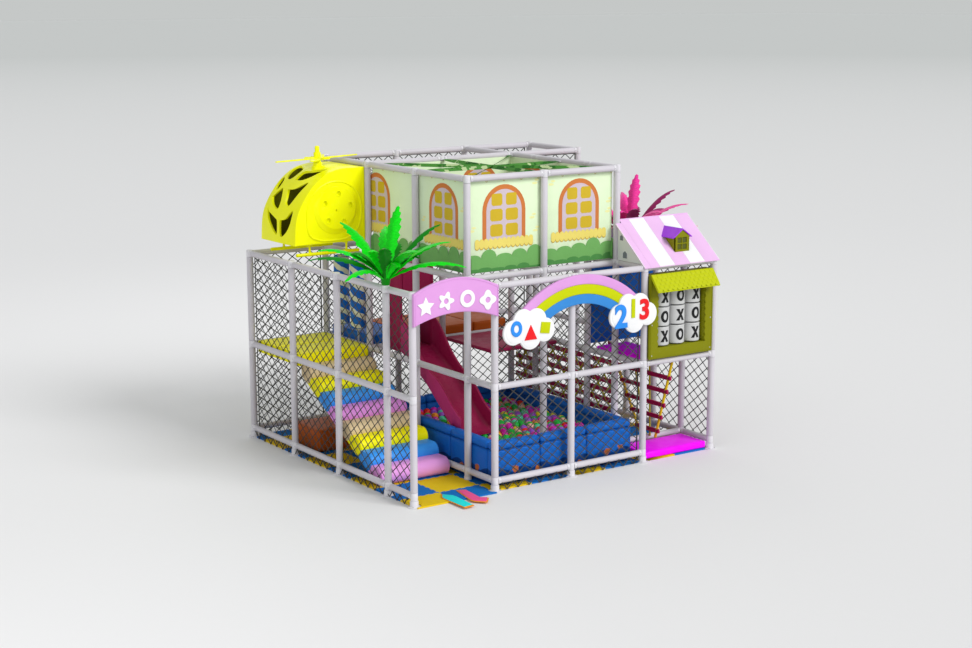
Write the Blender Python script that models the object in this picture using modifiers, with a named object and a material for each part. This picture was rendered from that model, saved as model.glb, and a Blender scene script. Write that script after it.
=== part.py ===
"""Indoor playground: a sleeved tube frame with a ball pit, a slide, foam stairs and play panels.

Metres, +Z up. X runs along the front wall, Y runs back along the left wall, and the
origin is on the floor under the near left corner post.
"""

import math

import bmesh
import bpy
from mathutils import Matrix, Vector

# Clearances
GAP = 0.0003
BORE_CLEARANCE = 0.0008
REACH = 0.05
MERGE = 0.00001
ROUND_PROFILE = 0.5
SHARP_ANGLE = math.radians(30)

# Grid of the tube frame
BAY = 1.2
HALF_BAY = 0.6
COLUMNS = [BAY * i for i in range(5)]
ROWS = [0.0, HALF_BAY, HALF_BAY + BAY, HALF_BAY + 2 * BAY, HALF_BAY + 3 * BAY]
SUB_ROW = ROWS[1] + BAY / 2
SUB_ROW_BACK = ROWS[2] + BAY / 2
LEVEL_LOW = 0.133
LEVEL_1 = 1.339
LEVEL_2 = 2.616
LEVEL_3 = 3.879

# Tubes and their feet
POST_R = 0.046
RAIL_R = 0.042
TUBE_SIDES = 8
POST_RISE = 0.046
POST_RISE_UNDER_ROOF = 0.02
FLANGE_R = 0.085
FLANGE_T = 0.012
COLLAR_R = 0.0535
COLLAR_TOP = 0.082

# Floor mat
MAT_T = 0.02
MAT_MARGIN = 0.012
MAT_APRON = 0.096
FOOT_NOTCH = 0.004
ARROW_T = 0.015
ARROW_IN = [(0.444, 0.077), (0.524, 0.206), (0.617, 0.085), (0.625, 0.004), (0.592, -0.43), (0.444, -0.45),
            (0.442, -0.07)]
ARROW_OUT = [(0.772, 0.239), (0.883, 0.199), (0.84, -0.204), (0.925, -0.264), (0.8, -0.414),
             (0.697, -0.305), (0.673, -0.233)]

# Safety nets
NET_T = 0.006
NET_STRAND = 0.022
NET_SIDE_MARGIN = 0.004
NET_CELLS = {"net_left": (5, 4), "net_front": (3, 4), "net_right": (4, 3), "net_back": (3, 4),
             "net_crown_front": (2, 2)}

# Foam stairs
STEP_COUNT = 8
STEP_SIDE = 0.08
STEP_NOSE_R = 0.115
STEP_RUN = 0.2556
STEP_RISE = 0.1425
STEP_FRONT = 0.893
NOSE_SEGMENTS = 7
HOLLOW_END_SHARE = 0.6

# Decks and pads
DECK_TOP = LEVEL_1 + 0.056
DECK_T = 0.175
BLOCK_X = (0.24, 1.1)
BLOCK_Y = (2.8, 3.55)
BLOCK_H = 0.31
BLOCK_BEVEL = 0.05
CORRIDOR_TOP = LEVEL_1 + 0.161
CORRIDOR_T = 0.2
PAD_BEVEL = 0.02
MID_DECK_T = 0.06
FLOOR_PAD_Y1 = 0.54
FLOOR_PAD_H = 0.1
HALF_DECK_X1 = (COLUMNS[3] + COLUMNS[4]) / 2
HALF_DECK_Y1 = 1.08
HALF_DECK_Z0 = LEVEL_1 - 0.007
HALF_DECK_T = 0.072
BLUE_PANEL_Z = (HALF_DECK_Z0 + HALF_DECK_T, LEVEL_2 - 0.096)
BLUE_PANEL_T = 0.04

# Spinning rollers
ROLLER_R = 0.11
ROLLER_ROD_R = 0.015
ROLLER_Y = [ROWS[3] + 0.306, ROWS[3] + 0.75]
ROLLER_Z = (LEVEL_1 + 0.221, LEVEL_2 - 0.066)
ROLLER_COLLAR_R = 0.035
ROLLER_COLLAR_H = 0.02
ROLLER_SIDES = 20
ROD_SIDES = 12

# Slide and hood: underside of the bed and top edge of the side walls as (y, z)
SLIDE_W = 0.54
SLIDE_WALL = 0.035
SLIDE_BED = 0.045
SLIDE_UNDER = [(2.5, 1.33), (1.973, 1.06), (1.743, 0.904), (1.538, 0.746), (1.374, 0.616), (1.2, 0.492),
               (1.04, 0.434)]
SLIDE_EDGE = [(2.5, 1.8), (2.38, 1.735), (2.26, 1.63), (2.06, 1.4), (1.823, 1.21), (1.66, 1.13), (1.496, 1.03),
              (1.292, 0.845), (1.16, 0.75), (1.04, 0.68)]
HOOD_TOP = LEVEL_2 - 0.108
HOOD_WALL = 0.04
HOOD_DOOR_TOP = 2.16

# Ball pit
PIT_X1 = COLUMNS[3] - 0.096
PIT_Y0 = 0.108
PIT_Y1 = ROWS[3] - 0.06
PIT_WALL = 0.144
PIT_TOP = 0.588
PIT_BEVEL = 0.035
BALL_TOP = 0.4334
BALL_POST_CLEARANCE = 0.002

# Entrance sign, rainbow and clouds
BOARD_T = 0.045
SIGN_X = (-0.036, COLUMNS[1])
SIGN_TOP_END = LEVEL_2 + 0.024
SIGN_TOP_RISE = 0.152
SIGN_FOOT_END = 2.244
SIGN_FOOT_RISE = 0.12
SIGN_SEGMENTS = 10
RAINBOW_CENTRE = (COLUMNS[2] + 0.084, 1.284)
RAINBOW_R = 1.362
RAINBOW_BAND = 0.126
RAINBOW_BANDS = 3
RAINBOW_HALF_ANGLE = math.radians(48)
RAINBOW_SEGMENTS = 12
CLOUD_CENTRES = [(RAINBOW_CENTRE[0] - 0.84, 2.04), (RAINBOW_CENTRE[0] + 0.834, 2.064)]
CLOUD_LOBES = [(-0.235, -0.02, 0.16), (-0.09, 0.115, 0.15), (0.11, 0.1, 0.155), (0.24, -0.03, 0.155),
               (0.02, -0.095, 0.165)]
CLOUD_T = 0.04
CLOUD_LAP = 0.006
CLOUD_LOBE_STEP = 0.0007
CLOUD_SIDES = 12

# House on the crown
HOUSE_PANEL_T = 0.012
HOUSE_FOOT_GAP = 0.012
HOUSE_HEAD_GAP = 0.02
STRAP_W = 0.07
STRAP_T = 0.004
STRAP_COUNT = 4
STRAP_CORNER_CUT = 0.095

# Striped roof over the right bay
ROOF_X0 = COLUMNS[3] - 0.06
ROOF_X1 = COLUMNS[4] + 0.048
ROOF_EAVE_Y = -0.07
ROOF_EAVE_Z = LEVEL_2 + 0.014
ROOF_RIDGE_Z = LEVEL_2 + 0.57
ROOF_T = 0.01
GABLE_T = 0.018

# Dormer on the front slope
DORMER_X = (COLUMNS[3] + 0.588, COLUMNS[3] + 0.84)
DORMER_FRONT = 0.09
DORMER_EAVE = LEVEL_2 + 0.35
DORMER_APEX = LEVEL_2 + 0.458
DORMER_OVERHANG = 0.035
DORMER_ROOF_T = 0.02

# Noughts-and-crosses game
GAME_X = (COLUMNS[3] + 0.024, COLUMNS[4] - 0.072)
GAME_Z = (LEVEL_1 + 0.059, LEVEL_2 - 0.096)
GAME_OPEN_X = (GAME_X[0] + 0.158, GAME_X[1] - 0.142)
GAME_OPEN_Z = (GAME_Z[0] + 0.147, GAME_Z[1] - 0.183)
GAME_CASE_INSET = 0.003
GAME_PLATE_T = 0.038
GAME_BOX_BACK = 0.11
GAME_ROD_R = 0.012
GAME_ROD_Y = 0.055
GAME_SIZE = 3
DRUM_SIDE_GAP = 0.009
DRUM_R = (GAME_OPEN_X[1] - GAME_OPEN_X[0]) / GAME_SIZE / 2 - DRUM_SIDE_GAP
DRUM_SPACER_R = 0.03
DRUM_SPACER_H = 0.012
DRUM_SIDES = 16

# Shingled awning
AWNING_X = (GAME_X[0] + 0.01, GAME_X[1] - 0.018)
AWNING_TOP = GAME_Z[1] + 0.01
AWNING_ROOT = 0.05
AWNING_FRONT = -0.245
AWNING_FALL = 0.21
AWNING_T = 0.03

# Helicopter
CABIN_Y = (ROWS[3], ROWS[3] + 0.97)
CABIN_FLOOR = LEVEL_2 + 0.228
CABIN_WALL = 0.03
CABIN_NOSE = [(0.066, CABIN_FLOOR), (0.085, 3.12), (0.139, 3.306), (0.264, 3.511), (0.414, 3.672),
              (0.612, 3.799), (0.835, 3.846)]
CABIN_DISC = (0.692, 3.288)
CABIN_DISC_R = 0.324
CABIN_DISC_T = 0.02
CABIN_DISC_SIDES = 24
CABIN_HOLE_R = 0.03
CABIN_HOLE_RING = 0.215
CABIN_HOLE_COUNT = 5
CABIN_HOLE_TURN = math.radians(62)
NOSE_WINDOW_DEPTH = 0.75
NOSE_WINDOWS = [
    [(3.86, 3.25), (3.77, 2.955), (3.53, 2.94), (3.70, 3.08)],
    [(3.45, 3.17), (3.26, 3.25), (3.33, 3.06), (3.43, 2.945)],
    [(3.85, 3.39), (3.69, 3.52), (3.58, 3.53), (3.70, 3.36)],
    [(3.49, 3.52), (3.31, 3.60), (3.20, 3.52), (3.36, 3.35)],
]
SKID_R = 0.024
SKID_X = (0.144, 1.12)
SKID_Y = (3.12, 3.85)
SKID_Z = 2.7
STRUT_R = 0.018
STRUT_UPRIGHT_R = 0.0162
STRUT_X = (0.35, 0.92)
ROTOR_AXIS = (0.696, 3.48)
ROTOR_BOSS_R = 0.06
ROTOR_BOSS_TOP = 3.9
ROTOR_PIN_R = 0.018
ROTOR_PIN_TOP = 4.0
ROTOR_HUB_R = 0.05
ROTOR_HUB_TOP = 4.03
ROTOR_TIP_R = 0.022
ROTOR_TIP_TOP = 4.12
ROTOR_BLADE_Z = 3.95
ROTOR_BLADE_T = 0.018
ROTOR_BLADE_STEP = 0.002
ROTOR_LONG = (0.74, 0.085, math.radians(13))
ROTOR_SHORT = (0.5, 0.15, math.radians(54))

# Palms: azimuth in degrees, length and rise of each leaf
PALM_HUB_R = 0.075
PALM_HUB_H = 0.16
PALM_HUB_SIDES = 10
LEAF_W = 0.15
LEAF_T = 0.02
LEAF_SECTIONS = 5
LEAVES = [(-35, 1.0, 0.13), (15, 0.95, 0.27), (58, 0.8, 0.5), (95, 0.95, 0.6), (135, 0.98, 0.17),
          (165, 0.85, 0.34), (205, 0.87, 0.08), (238, 0.75, 0.45), (268, 0.8, 0.38), (300, 0.9, 0.5),
          (340, 0.7, 0.62)]
LEAF_ARCH = 0.13
TALL_LEAF = (36, 0.44, 0.92)
LEAF_ROOT = 0.05
LEAF_TIER = 0.02

# Rope ladder below the half deck
LADDER_X = HALF_DECK_X1
LADDER_TOP = 1.3
LADDER_FOOT = 0.16
LADDER_Y_TOP = (0.11, 1.44)
LADDER_Y_FOOT = (0.44, 0.76)
LADDER_ROPE_R = 0.014
LADDER_ROPE_SIDES = 6
LADDER_INNER = (0.36, 0.64)
RUNG_Z = [1.032, 0.834, 0.636, 0.456, 0.252]
RUNG_H = 0.045
RUNG_T = 0.036

# Plank net on the right of the pit
PLANK_COUNT = 6
PLANK_H = 0.07
PLANK_PITCH = 0.132
PLANK_T = 0.02
PLANK_TOP = 1.25
PLANK_ROPE = 0.024
PLANK_CELL_W = 0.8
PLANK_CELL_H = 0.396
PLANK_GAP_LEAST = 0.0008


def clear_scene():
    """Remove every object, so that the script starts from an empty scene."""
    for obj in list(bpy.data.objects):
        bpy.data.objects.remove(obj, do_unlink=True)


def make_collection(name, hidden=False):
    """A collection under the scene's root."""
    collection = bpy.data.collections.new(name)
    bpy.context.scene.collection.children.link(collection)
    collection.hide_render = hidden
    return collection


def material(name, colour, roughness=0.5, metallic=0.0):
    """A Principled BSDF material."""
    mat = bpy.data.materials.new(name)
    mat.use_nodes = True
    shader = mat.node_tree.nodes["Principled BSDF"]
    shader.inputs["Base Color"].default_value = (*colour, 1.0)
    shader.inputs["Roughness"].default_value = roughness
    shader.inputs["Metallic"].default_value = metallic
    mat.diffuse_color = (*colour, 1.0)
    return mat


def mesh_from(bm, name):
    """Turn a bmesh into mesh data with its faces pointing out."""
    bmesh.ops.recalc_face_normals(bm, faces=bm.faces)
    mesh = bpy.data.meshes.new(name)
    bm.to_mesh(mesh)
    bm.free()
    return mesh


def box_mesh(lo, hi, name="box"):
    """A box between two corners."""
    bm = bmesh.new()
    bmesh.ops.create_cube(bm, size=1.0)
    size = [b - a for a, b in zip(lo, hi)]
    centre = [(a + b) / 2 for a, b in zip(lo, hi)]
    bmesh.ops.scale(bm, vec=size, verts=bm.verts)
    bmesh.ops.translate(bm, vec=centre, verts=bm.verts)
    return mesh_from(bm, name)


def tube_mesh(start, end, radius, sides=TUBE_SIDES, end_radius=None):
    """A capped cylinder or cone between two points, with corners on the world axes."""
    start = Vector(start)
    end = Vector(end)
    run = end - start
    bm = bmesh.new()
    tip = radius if end_radius is None else end_radius
    bmesh.ops.create_cone(bm, cap_ends=True, segments=sides, radius1=radius, radius2=tip, depth=run.length)
    turn = run.to_track_quat("Z", "Y").to_matrix().to_4x4()
    bmesh.ops.transform(bm, matrix=Matrix.Translation((start + end) / 2) @ turn, verts=bm.verts)
    return mesh_from(bm, "tube")


def evaluated_mesh(obj):
    """The object's mesh with its modifiers applied, in world space."""
    graph = bpy.context.evaluated_depsgraph_get()
    mesh = bpy.data.meshes.new_from_object(obj.evaluated_get(graph))
    mesh.transform(obj.matrix_world)
    return mesh


def scratch_object(data, name="scratch"):
    """An object used only while another one is made."""
    obj = bpy.data.objects.new(name, data)
    HELPERS.objects.link(obj)
    bpy.context.view_layer.update()
    return obj


def plate_mesh(outline, holes, thickness, centre, axis):
    """A flat outline with holes, extruded along an axis, its middle plane at centre on that axis.

    Outline points are (first, second) world coordinates of the two other axes in the order
    y, z for X; x, z for Y; x, y for Z.
    """
    curve = bpy.data.curves.new("outline", "CURVE")
    curve.dimensions = "2D"
    curve.fill_mode = "BOTH"
    curve.extrude = thickness / 2
    for ring in [outline] + holes:
        spline = curve.splines.new("POLY")
        spline.points.add(len(ring) - 1)
        spline.use_cyclic_u = True
        for point, (first, second) in zip(spline.points, ring):
            point.co = (first, second, 0.0, 1.0)
    obj = scratch_object(curve)
    mesh = evaluated_mesh(obj)
    bpy.data.objects.remove(obj)
    turns = {
        "X": Matrix(((0, 0, 1, centre), (1, 0, 0, 0), (0, 1, 0, 0), (0, 0, 0, 1))),
        "Y": Matrix(((1, 0, 0, 0), (0, 0, -1, centre), (0, 1, 0, 0), (0, 0, 0, 1))),
        "Z": Matrix.Translation((0, 0, centre)),
    }
    bm = bmesh.new()
    bm.from_mesh(mesh)
    bmesh.ops.remove_doubles(bm, verts=bm.verts, dist=MERGE)
    bmesh.ops.transform(bm, matrix=turns[axis], verts=bm.verts)
    return mesh_from(bm, "plate")


def turned_mesh(profile, sides):
    """A solid turned about Z from (radius, z) points that run from the top down its outer side."""
    mesh = bpy.data.meshes.new("profile")
    points = [(r, 0.0, z) for r, z in profile]
    mesh.from_pydata(points, [(i, i + 1) for i in range(len(points) - 1)], [])
    obj = scratch_object(mesh)
    screw = obj.modifiers.new("turn", "SCREW")
    screw.steps = sides
    screw.render_steps = sides
    screw.use_merge_vertices = True
    screw.merge_threshold = 0.0001
    turned = evaluated_mesh(obj)
    bpy.data.objects.remove(obj)
    bm = bmesh.new()
    bm.from_mesh(turned)
    bmesh.ops.remove_doubles(bm, verts=bm.verts, dist=MERGE)
    return mesh_from(bm, "turned")


def moved(mesh, offset, turn=0.0):
    """Turn a mesh about Z, then shift it."""
    mesh.transform(Matrix.Translation(offset) @ Matrix.Rotation(turn, 4, "Z"))
    return mesh


def combined(meshes):
    """Several separate shells in one mesh."""
    bm = bmesh.new()
    for mesh in meshes:
        bm.from_mesh(mesh)
    return mesh_from(bm, "group")


def boolean_mesh(base, tool, operation):
    """Union or difference of two meshes with the exact solver."""
    body = scratch_object(base, "body")
    cutter = scratch_object(tool, "cutter")
    cutter.hide_render = True
    cutter.display_type = "WIRE"
    change = body.modifiers.new("change", "BOOLEAN")
    change.operation = operation
    change.solver = "EXACT"
    change.object = cutter
    result = evaluated_mesh(body)
    bpy.data.objects.remove(body)
    bpy.data.objects.remove(cutter)
    return result


def fused(meshes):
    """Union of meshes, one after another."""
    result = meshes[0]
    for mesh in meshes[1:]:
        result = boolean_mesh(result, mesh, "UNION")
    return result


def cut(base, tools):
    """Take meshes away from a base."""
    for tool in tools:
        base = boolean_mesh(base, tool, "DIFFERENCE")
    return base


def bevelled(mesh, width, segments=2):
    """Round a mesh's sharp edges."""
    obj = scratch_object(mesh)
    bevel = obj.modifiers.new("round", "BEVEL")
    bevel.width = width
    bevel.segments = segments
    bevel.limit_method = "ANGLE"
    bevel.angle_limit = SHARP_ANGLE
    result = evaluated_mesh(obj)
    bpy.data.objects.remove(obj)
    return result


def bevelled_top(mesh, top, width, segments=3):
    """Round only the edges that lie at a mesh's top."""
    bm = bmesh.new()
    bm.from_mesh(mesh)
    edges = [edge for edge in bm.edges if all(vert.co.z > top - GAP for vert in edge.verts)
             and edge.calc_face_angle(0.0) > SHARP_ANGLE]
    bmesh.ops.bevel(bm, geom=edges, offset=width, segments=segments, profile=ROUND_PROFILE, affect="EDGES")
    return mesh_from(bm, "bevelled")


def tidy(mesh):
    """Merge points that a cut left together."""
    bm = bmesh.new()
    bm.from_mesh(mesh)
    bmesh.ops.remove_doubles(bm, verts=bm.verts, dist=MERGE)
    return mesh_from(bm, "tidy")


def add_part(name, mesh, mat, origin=(0.0, 0.0, 0.0)):
    """Keep a mesh as one named part with its origin at a point."""
    mesh = tidy(mesh)
    mesh.name = name
    mesh.transform(Matrix.Translation(-Vector(origin)))
    mesh.materials.clear()
    mesh.materials.append(mat)
    mesh.shade_smooth()
    mesh.set_sharp_from_angle(angle=SHARP_ANGLE)
    obj = bpy.data.objects.new(name, mesh)
    obj.location = origin
    PARTS.objects.link(obj)
    return obj


# Frame of tubes
def foot_post(x, y, top):
    """A post on the floor with its collar and flange."""
    profile = [(0.0, top), (POST_R, top), (POST_R, COLLAR_TOP), (COLLAR_R, COLLAR_TOP), (COLLAR_R, FLANGE_T),
               (FLANGE_R, FLANGE_T), (FLANGE_R, 0.0), (0.0, 0.0)]
    return moved(turned_mesh(profile, TUBE_SIDES), (x, y, 0.0))


def mat_post(x, y, top):
    """A plain post that stands on the mat."""
    return tube_mesh((x, y, MAT_T + GAP), (x, y, top), POST_R)


def rail_x(x0, x1, y, z):
    """A rail along X."""
    return tube_mesh((x0, y, z), (x1, y, z), RAIL_R)


def rail_y(x, y0, y1, z):
    """A rail along Y."""
    return tube_mesh((x, y0, z), (x, y1, z), RAIL_R)


def frame_part(name, posts, rails_x, rails_y, extras=()):
    """Fuse one wall's posts and rails."""
    groups = [combined(group) for group in (posts, rails_x, rails_y) if group]
    add_part(name, fused(groups + list(extras)), SLEEVE)


def build_frame():
    """Seven walls and branches of the tube frame."""
    clear = POST_R + GAP
    back = ROWS[4]
    top2 = LEVEL_2 + POST_RISE
    top3 = LEVEL_3 + POST_RISE
    roof_top = LEVEL_2 + POST_RISE_UNDER_ROOF
    front_tops = [top2, top2, top2, roof_top, roof_top]
    frame_part(
        "frame_front",
        [foot_post(x, 0.0, top) for x, top in zip(COLUMNS, front_tops)],
        [rail_x(COLUMNS[0], COLUMNS[4], 0.0, LEVEL_2), rail_x(COLUMNS[1], COLUMNS[4], 0.0, LEVEL_1),
         rail_x(COLUMNS[1], COLUMNS[3], 0.0, LEVEL_LOW)],
        [],
    )
    frame_part(
        "frame_left",
        [foot_post(COLUMNS[0], y, top2) for y in ROWS[1:]],
        [],
        [rail_y(COLUMNS[0], clear, back, z) for z in (LEVEL_LOW, LEVEL_1, LEVEL_2)],
    )
    rods = [tube_mesh((COLUMNS[1], y, LEVEL_1), (COLUMNS[1], y, LEVEL_2), ROLLER_ROD_R, ROD_SIDES)
            for y in ROLLER_Y]
    collar_top = ROLLER_Z[0] - GAP
    collars = [tube_mesh((COLUMNS[1], y, collar_top - ROLLER_COLLAR_H), (COLUMNS[1], y, collar_top),
                         ROLLER_COLLAR_R, ROD_SIDES) for y in ROLLER_Y]
    frame_part(
        "frame_mid_left",
        [mat_post(COLUMNS[1], y, top3) for y in ROWS[1:4]],
        [],
        [rail_y(COLUMNS[1], clear, ROWS[2], LEVEL_LOW), rail_y(COLUMNS[1], clear, back - clear, LEVEL_1),
         rail_y(COLUMNS[1], clear, back - clear, LEVEL_2), rail_y(COLUMNS[1], ROWS[1], back - clear, LEVEL_3)],
        [combined(rods), combined(collars)],
    )
    frame_part(
        "frame_mid_right",
        [mat_post(COLUMNS[3], ROWS[1], top3), mat_post(COLUMNS[3], SUB_ROW, roof_top),
         mat_post(COLUMNS[3], SUB_ROW_BACK, top2), mat_post(COLUMNS[3], ROWS[3], top3)],
        [],
        [rail_y(COLUMNS[3], clear, back - clear, LEVEL_1), rail_y(COLUMNS[3], clear, back - clear, LEVEL_2),
         rail_y(COLUMNS[3], ROWS[1], back - clear, LEVEL_3)],
    )
    branch = COLUMNS[3] + clear
    frame_part(
        "frame_right",
        [foot_post(COLUMNS[4], ROWS[1], top2), foot_post(COLUMNS[4], SUB_ROW, roof_top),
         foot_post(COLUMNS[4], ROWS[2], top2), foot_post(COLUMNS[4], ROWS[3], top3),
         foot_post(COLUMNS[4], ROWS[4], top3)],
        [rail_x(branch, COLUMNS[4], ROWS[1], LEVEL_LOW), rail_x(branch, COLUMNS[4], SUB_ROW, LEVEL_2),
         rail_x(branch, COLUMNS[4], ROWS[3], LEVEL_3)],
        [rail_y(COLUMNS[4], clear, back, LEVEL_LOW), rail_y(COLUMNS[4], clear, back, LEVEL_1),
         rail_y(COLUMNS[4], clear, back, LEVEL_2), rail_y(COLUMNS[4], ROWS[3], back, LEVEL_3)],
    )
    frame_part(
        "frame_back",
        [foot_post(x, back, top3) for x in COLUMNS[1:4]],
        [rail_x(clear, COLUMNS[4] - clear, back, z) for z in (LEVEL_LOW, LEVEL_1, LEVEL_2)]
        + [rail_x(COLUMNS[1], COLUMNS[4] - clear, back, LEVEL_3)],
        [],
    )
    x0 = COLUMNS[1] + clear
    x1 = COLUMNS[3] - clear
    frame_part(
        "frame_house",
        [mat_post(COLUMNS[2], ROWS[1], top3), mat_post(COLUMNS[2], ROWS[3], top3)],
        [rail_x(x0, x1, ROWS[1], LEVEL_2), rail_x(x0, x1, ROWS[1], LEVEL_3)]
        + [rail_x(x0, x1, ROWS[3], z) for z in (LEVEL_1, LEVEL_2, LEVEL_3)],
        [rail_y(COLUMNS[2], ROWS[1], ROWS[3], LEVEL_2)],
    )


# Nets
def clip(polygon, lo, hi):
    """Cut a convex polygon to a rectangle."""
    for axis, limit, keep in ((0, lo[0], 1), (0, hi[0], -1), (1, lo[1], 1), (1, hi[1], -1)):
        result = []
        for index, point in enumerate(polygon):
            before = polygon[index - 1]
            inside = keep * (point[axis] - limit) >= 0
            was_inside = keep * (before[axis] - limit) >= 0
            if inside != was_inside:
                share = (limit - before[axis]) / (point[axis] - before[axis])
                result.append(tuple(a + share * (b - a) for a, b in zip(before, point)))
            if inside:
                result.append(point)
        polygon = result
    return polygon


def polygon_area(polygon):
    """Area of a flat polygon."""
    pairs = zip(polygon, polygon[1:] + polygon[:1])
    return abs(sum(a[0] * b[1] - b[0] * a[1] for a, b in pairs)) / 2


def lattice_holes(lo, hi, columns, rows, strand):
    """Diamond gaps of a net between two corners, with a straight border."""
    width = (hi[0] - lo[0]) / columns
    height = (hi[1] - lo[1]) / rows
    slant = math.hypot(width, height)
    half_w = width / 2 - strand * slant / (2 * height)
    half_h = height / 2 - strand * slant / (2 * width)
    inner_lo = (lo[0] + strand, lo[1] + strand)
    inner_hi = (hi[0] - strand, hi[1] - strand)
    holes = []
    for i in range(2 * columns + 1):
        for j in range(2 * rows + 1):
            if (i + j) % 2:
                continue
            cx = lo[0] + i * width / 2
            cy = lo[1] + j * height / 2
            diamond = [(cx - half_w, cy), (cx, cy - half_h), (cx + half_w, cy), (cx, cy + half_h)]
            hole = clip(diamond, inner_lo, inner_hi)
            if len(hole) > 2 and polygon_area(hole) > width * height / 16:
                holes.append(hole)
    return holes


def net_part(name, lo, hi, centre, axis):
    """One flat diamond net."""
    outline = [lo, (hi[0], lo[1]), hi, (lo[0], hi[1])]
    holes = lattice_holes(lo, hi, *NET_CELLS[name], NET_STRAND)
    add_part(name, plate_mesh(outline, holes, NET_T, centre, axis), NET_CORD)


def build_nets():
    """Nets inside the left and front walls and outside the right and back walls, clear of the inner rails."""
    inset = POST_R + GAP + NET_T / 2
    side = POST_R + NET_T + NET_SIDE_MARGIN
    back = ROWS[4] - side
    foot = COLLAR_TOP + GAP
    net_top = LEVEL_2 - RAIL_R - GAP
    crown_top = LEVEL_3 - RAIL_R - GAP
    net_part("net_left", (side, foot), (back, net_top), COLUMNS[0] + inset, "X")
    net_part("net_front", (COLUMNS[1] + side, foot), (COLUMNS[3] - side, net_top), inset, "Y")
    net_part("net_right", (side, foot), (back, net_top), COLUMNS[4] + inset, "X")
    net_part("net_back", (COLUMNS[1] + side, foot), (COLUMNS[4] - side, crown_top), ROWS[4] + inset, "Y")
    clear = POST_R + GAP
    net_part("net_crown_front", (COLUMNS[3] + clear, LEVEL_2 + RAIL_R + GAP),
             (COLUMNS[4] - clear, crown_top), ROWS[3], "Y")


# Floor
def perimeter_feet():
    """Centres of the posts that stand on the floor around the edge."""
    feet = [(x, 0.0) for x in COLUMNS]
    feet += [(COLUMNS[0], y) for y in ROWS[1:]]
    feet += [(x, ROWS[4]) for x in COLUMNS[1:]]
    feet += [(COLUMNS[4], y) for y in (ROWS[1], SUB_ROW, ROWS[2], ROWS[3])]
    return feet


def build_floor():
    """Jigsaw mat cut round the outer feet, and the two raised arrows."""
    lo = -MAT_MARGIN
    outline = [(lo, -MAT_APRON), (COLUMNS[1], -MAT_APRON), (COLUMNS[1], lo), (COLUMNS[4] + MAT_MARGIN, lo),
               (COLUMNS[4] + MAT_MARGIN, ROWS[4] + MAT_MARGIN), (lo, ROWS[4] + MAT_MARGIN)]
    mat = plate_mesh(outline, [], MAT_T, MAT_T / 2, "Z")
    reach = FLANGE_R + FOOT_NOTCH
    notches = [box_mesh((x - reach, y - reach, -REACH), (x + reach, y + reach, REACH))
               for x, y in perimeter_feet()]
    add_part("floor_mat", cut(mat, [combined(notches)]), MAT_FOAM)
    arrow_z = MAT_T + GAP + ARROW_T / 2
    add_part("arrow_in", plate_mesh(ARROW_IN, [], ARROW_T, arrow_z, "Z"), CYAN)
    add_part("arrow_out", plate_mesh(ARROW_OUT, [], ARROW_T, arrow_z, "Z"), PINK)


# Stairs and decks
def arc(centre, radius, start, end, segments):
    """Points on an arc, angles in radians."""
    return [(centre[0] + radius * math.cos(start + (end - start) * i / segments),
             centre[1] + radius * math.sin(start + (end - start) * i / segments)) for i in range(segments + 1)]


def step_outline(index, deck_front):
    """Side outline of one bull-nosed step: nose, tread, hollow back and sloping underside."""
    first_top = MAT_T + GAP + 2 * STEP_NOSE_R
    nose = (STEP_FRONT + STEP_NOSE_R + index * STEP_RUN, first_top - STEP_NOSE_R + index * STEP_RISE)
    front = arc(nose, STEP_NOSE_R, math.radians(90), math.radians(270), NOSE_SEGMENTS)
    slope = STEP_RISE / STEP_RUN
    if index == STEP_COUNT - 1:
        end_y = deck_front - GAP
        underside = nose[1] - STEP_NOSE_R + slope * (end_y - nose[0])
        return front + [(end_y, underside), (end_y, nose[1] + STEP_NOSE_R)]
    next_nose = (nose[0] + STEP_RUN, nose[1] + STEP_RISE)
    tread = nose[1] + STEP_NOSE_R
    around = arc(next_nose, STEP_NOSE_R + 2 * GAP, math.radians(90), math.radians(270), NOSE_SEGMENTS)
    hollow = [between(around[-2], around[-1], HOLLOW_END_SHARE)]
    for upper, lower in zip(around[-3::-1], around[-2:0:-1]):
        hollow.append(lower)
        if upper[1] >= tread:
            hollow.append(between(lower, upper, (tread - lower[1]) / (upper[1] - lower[1])))
            break
    return front + hollow


def between(first, second, share):
    """A point on the line between two points."""
    return tuple(a + share * (b - a) for a, b in zip(first, second))


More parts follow.
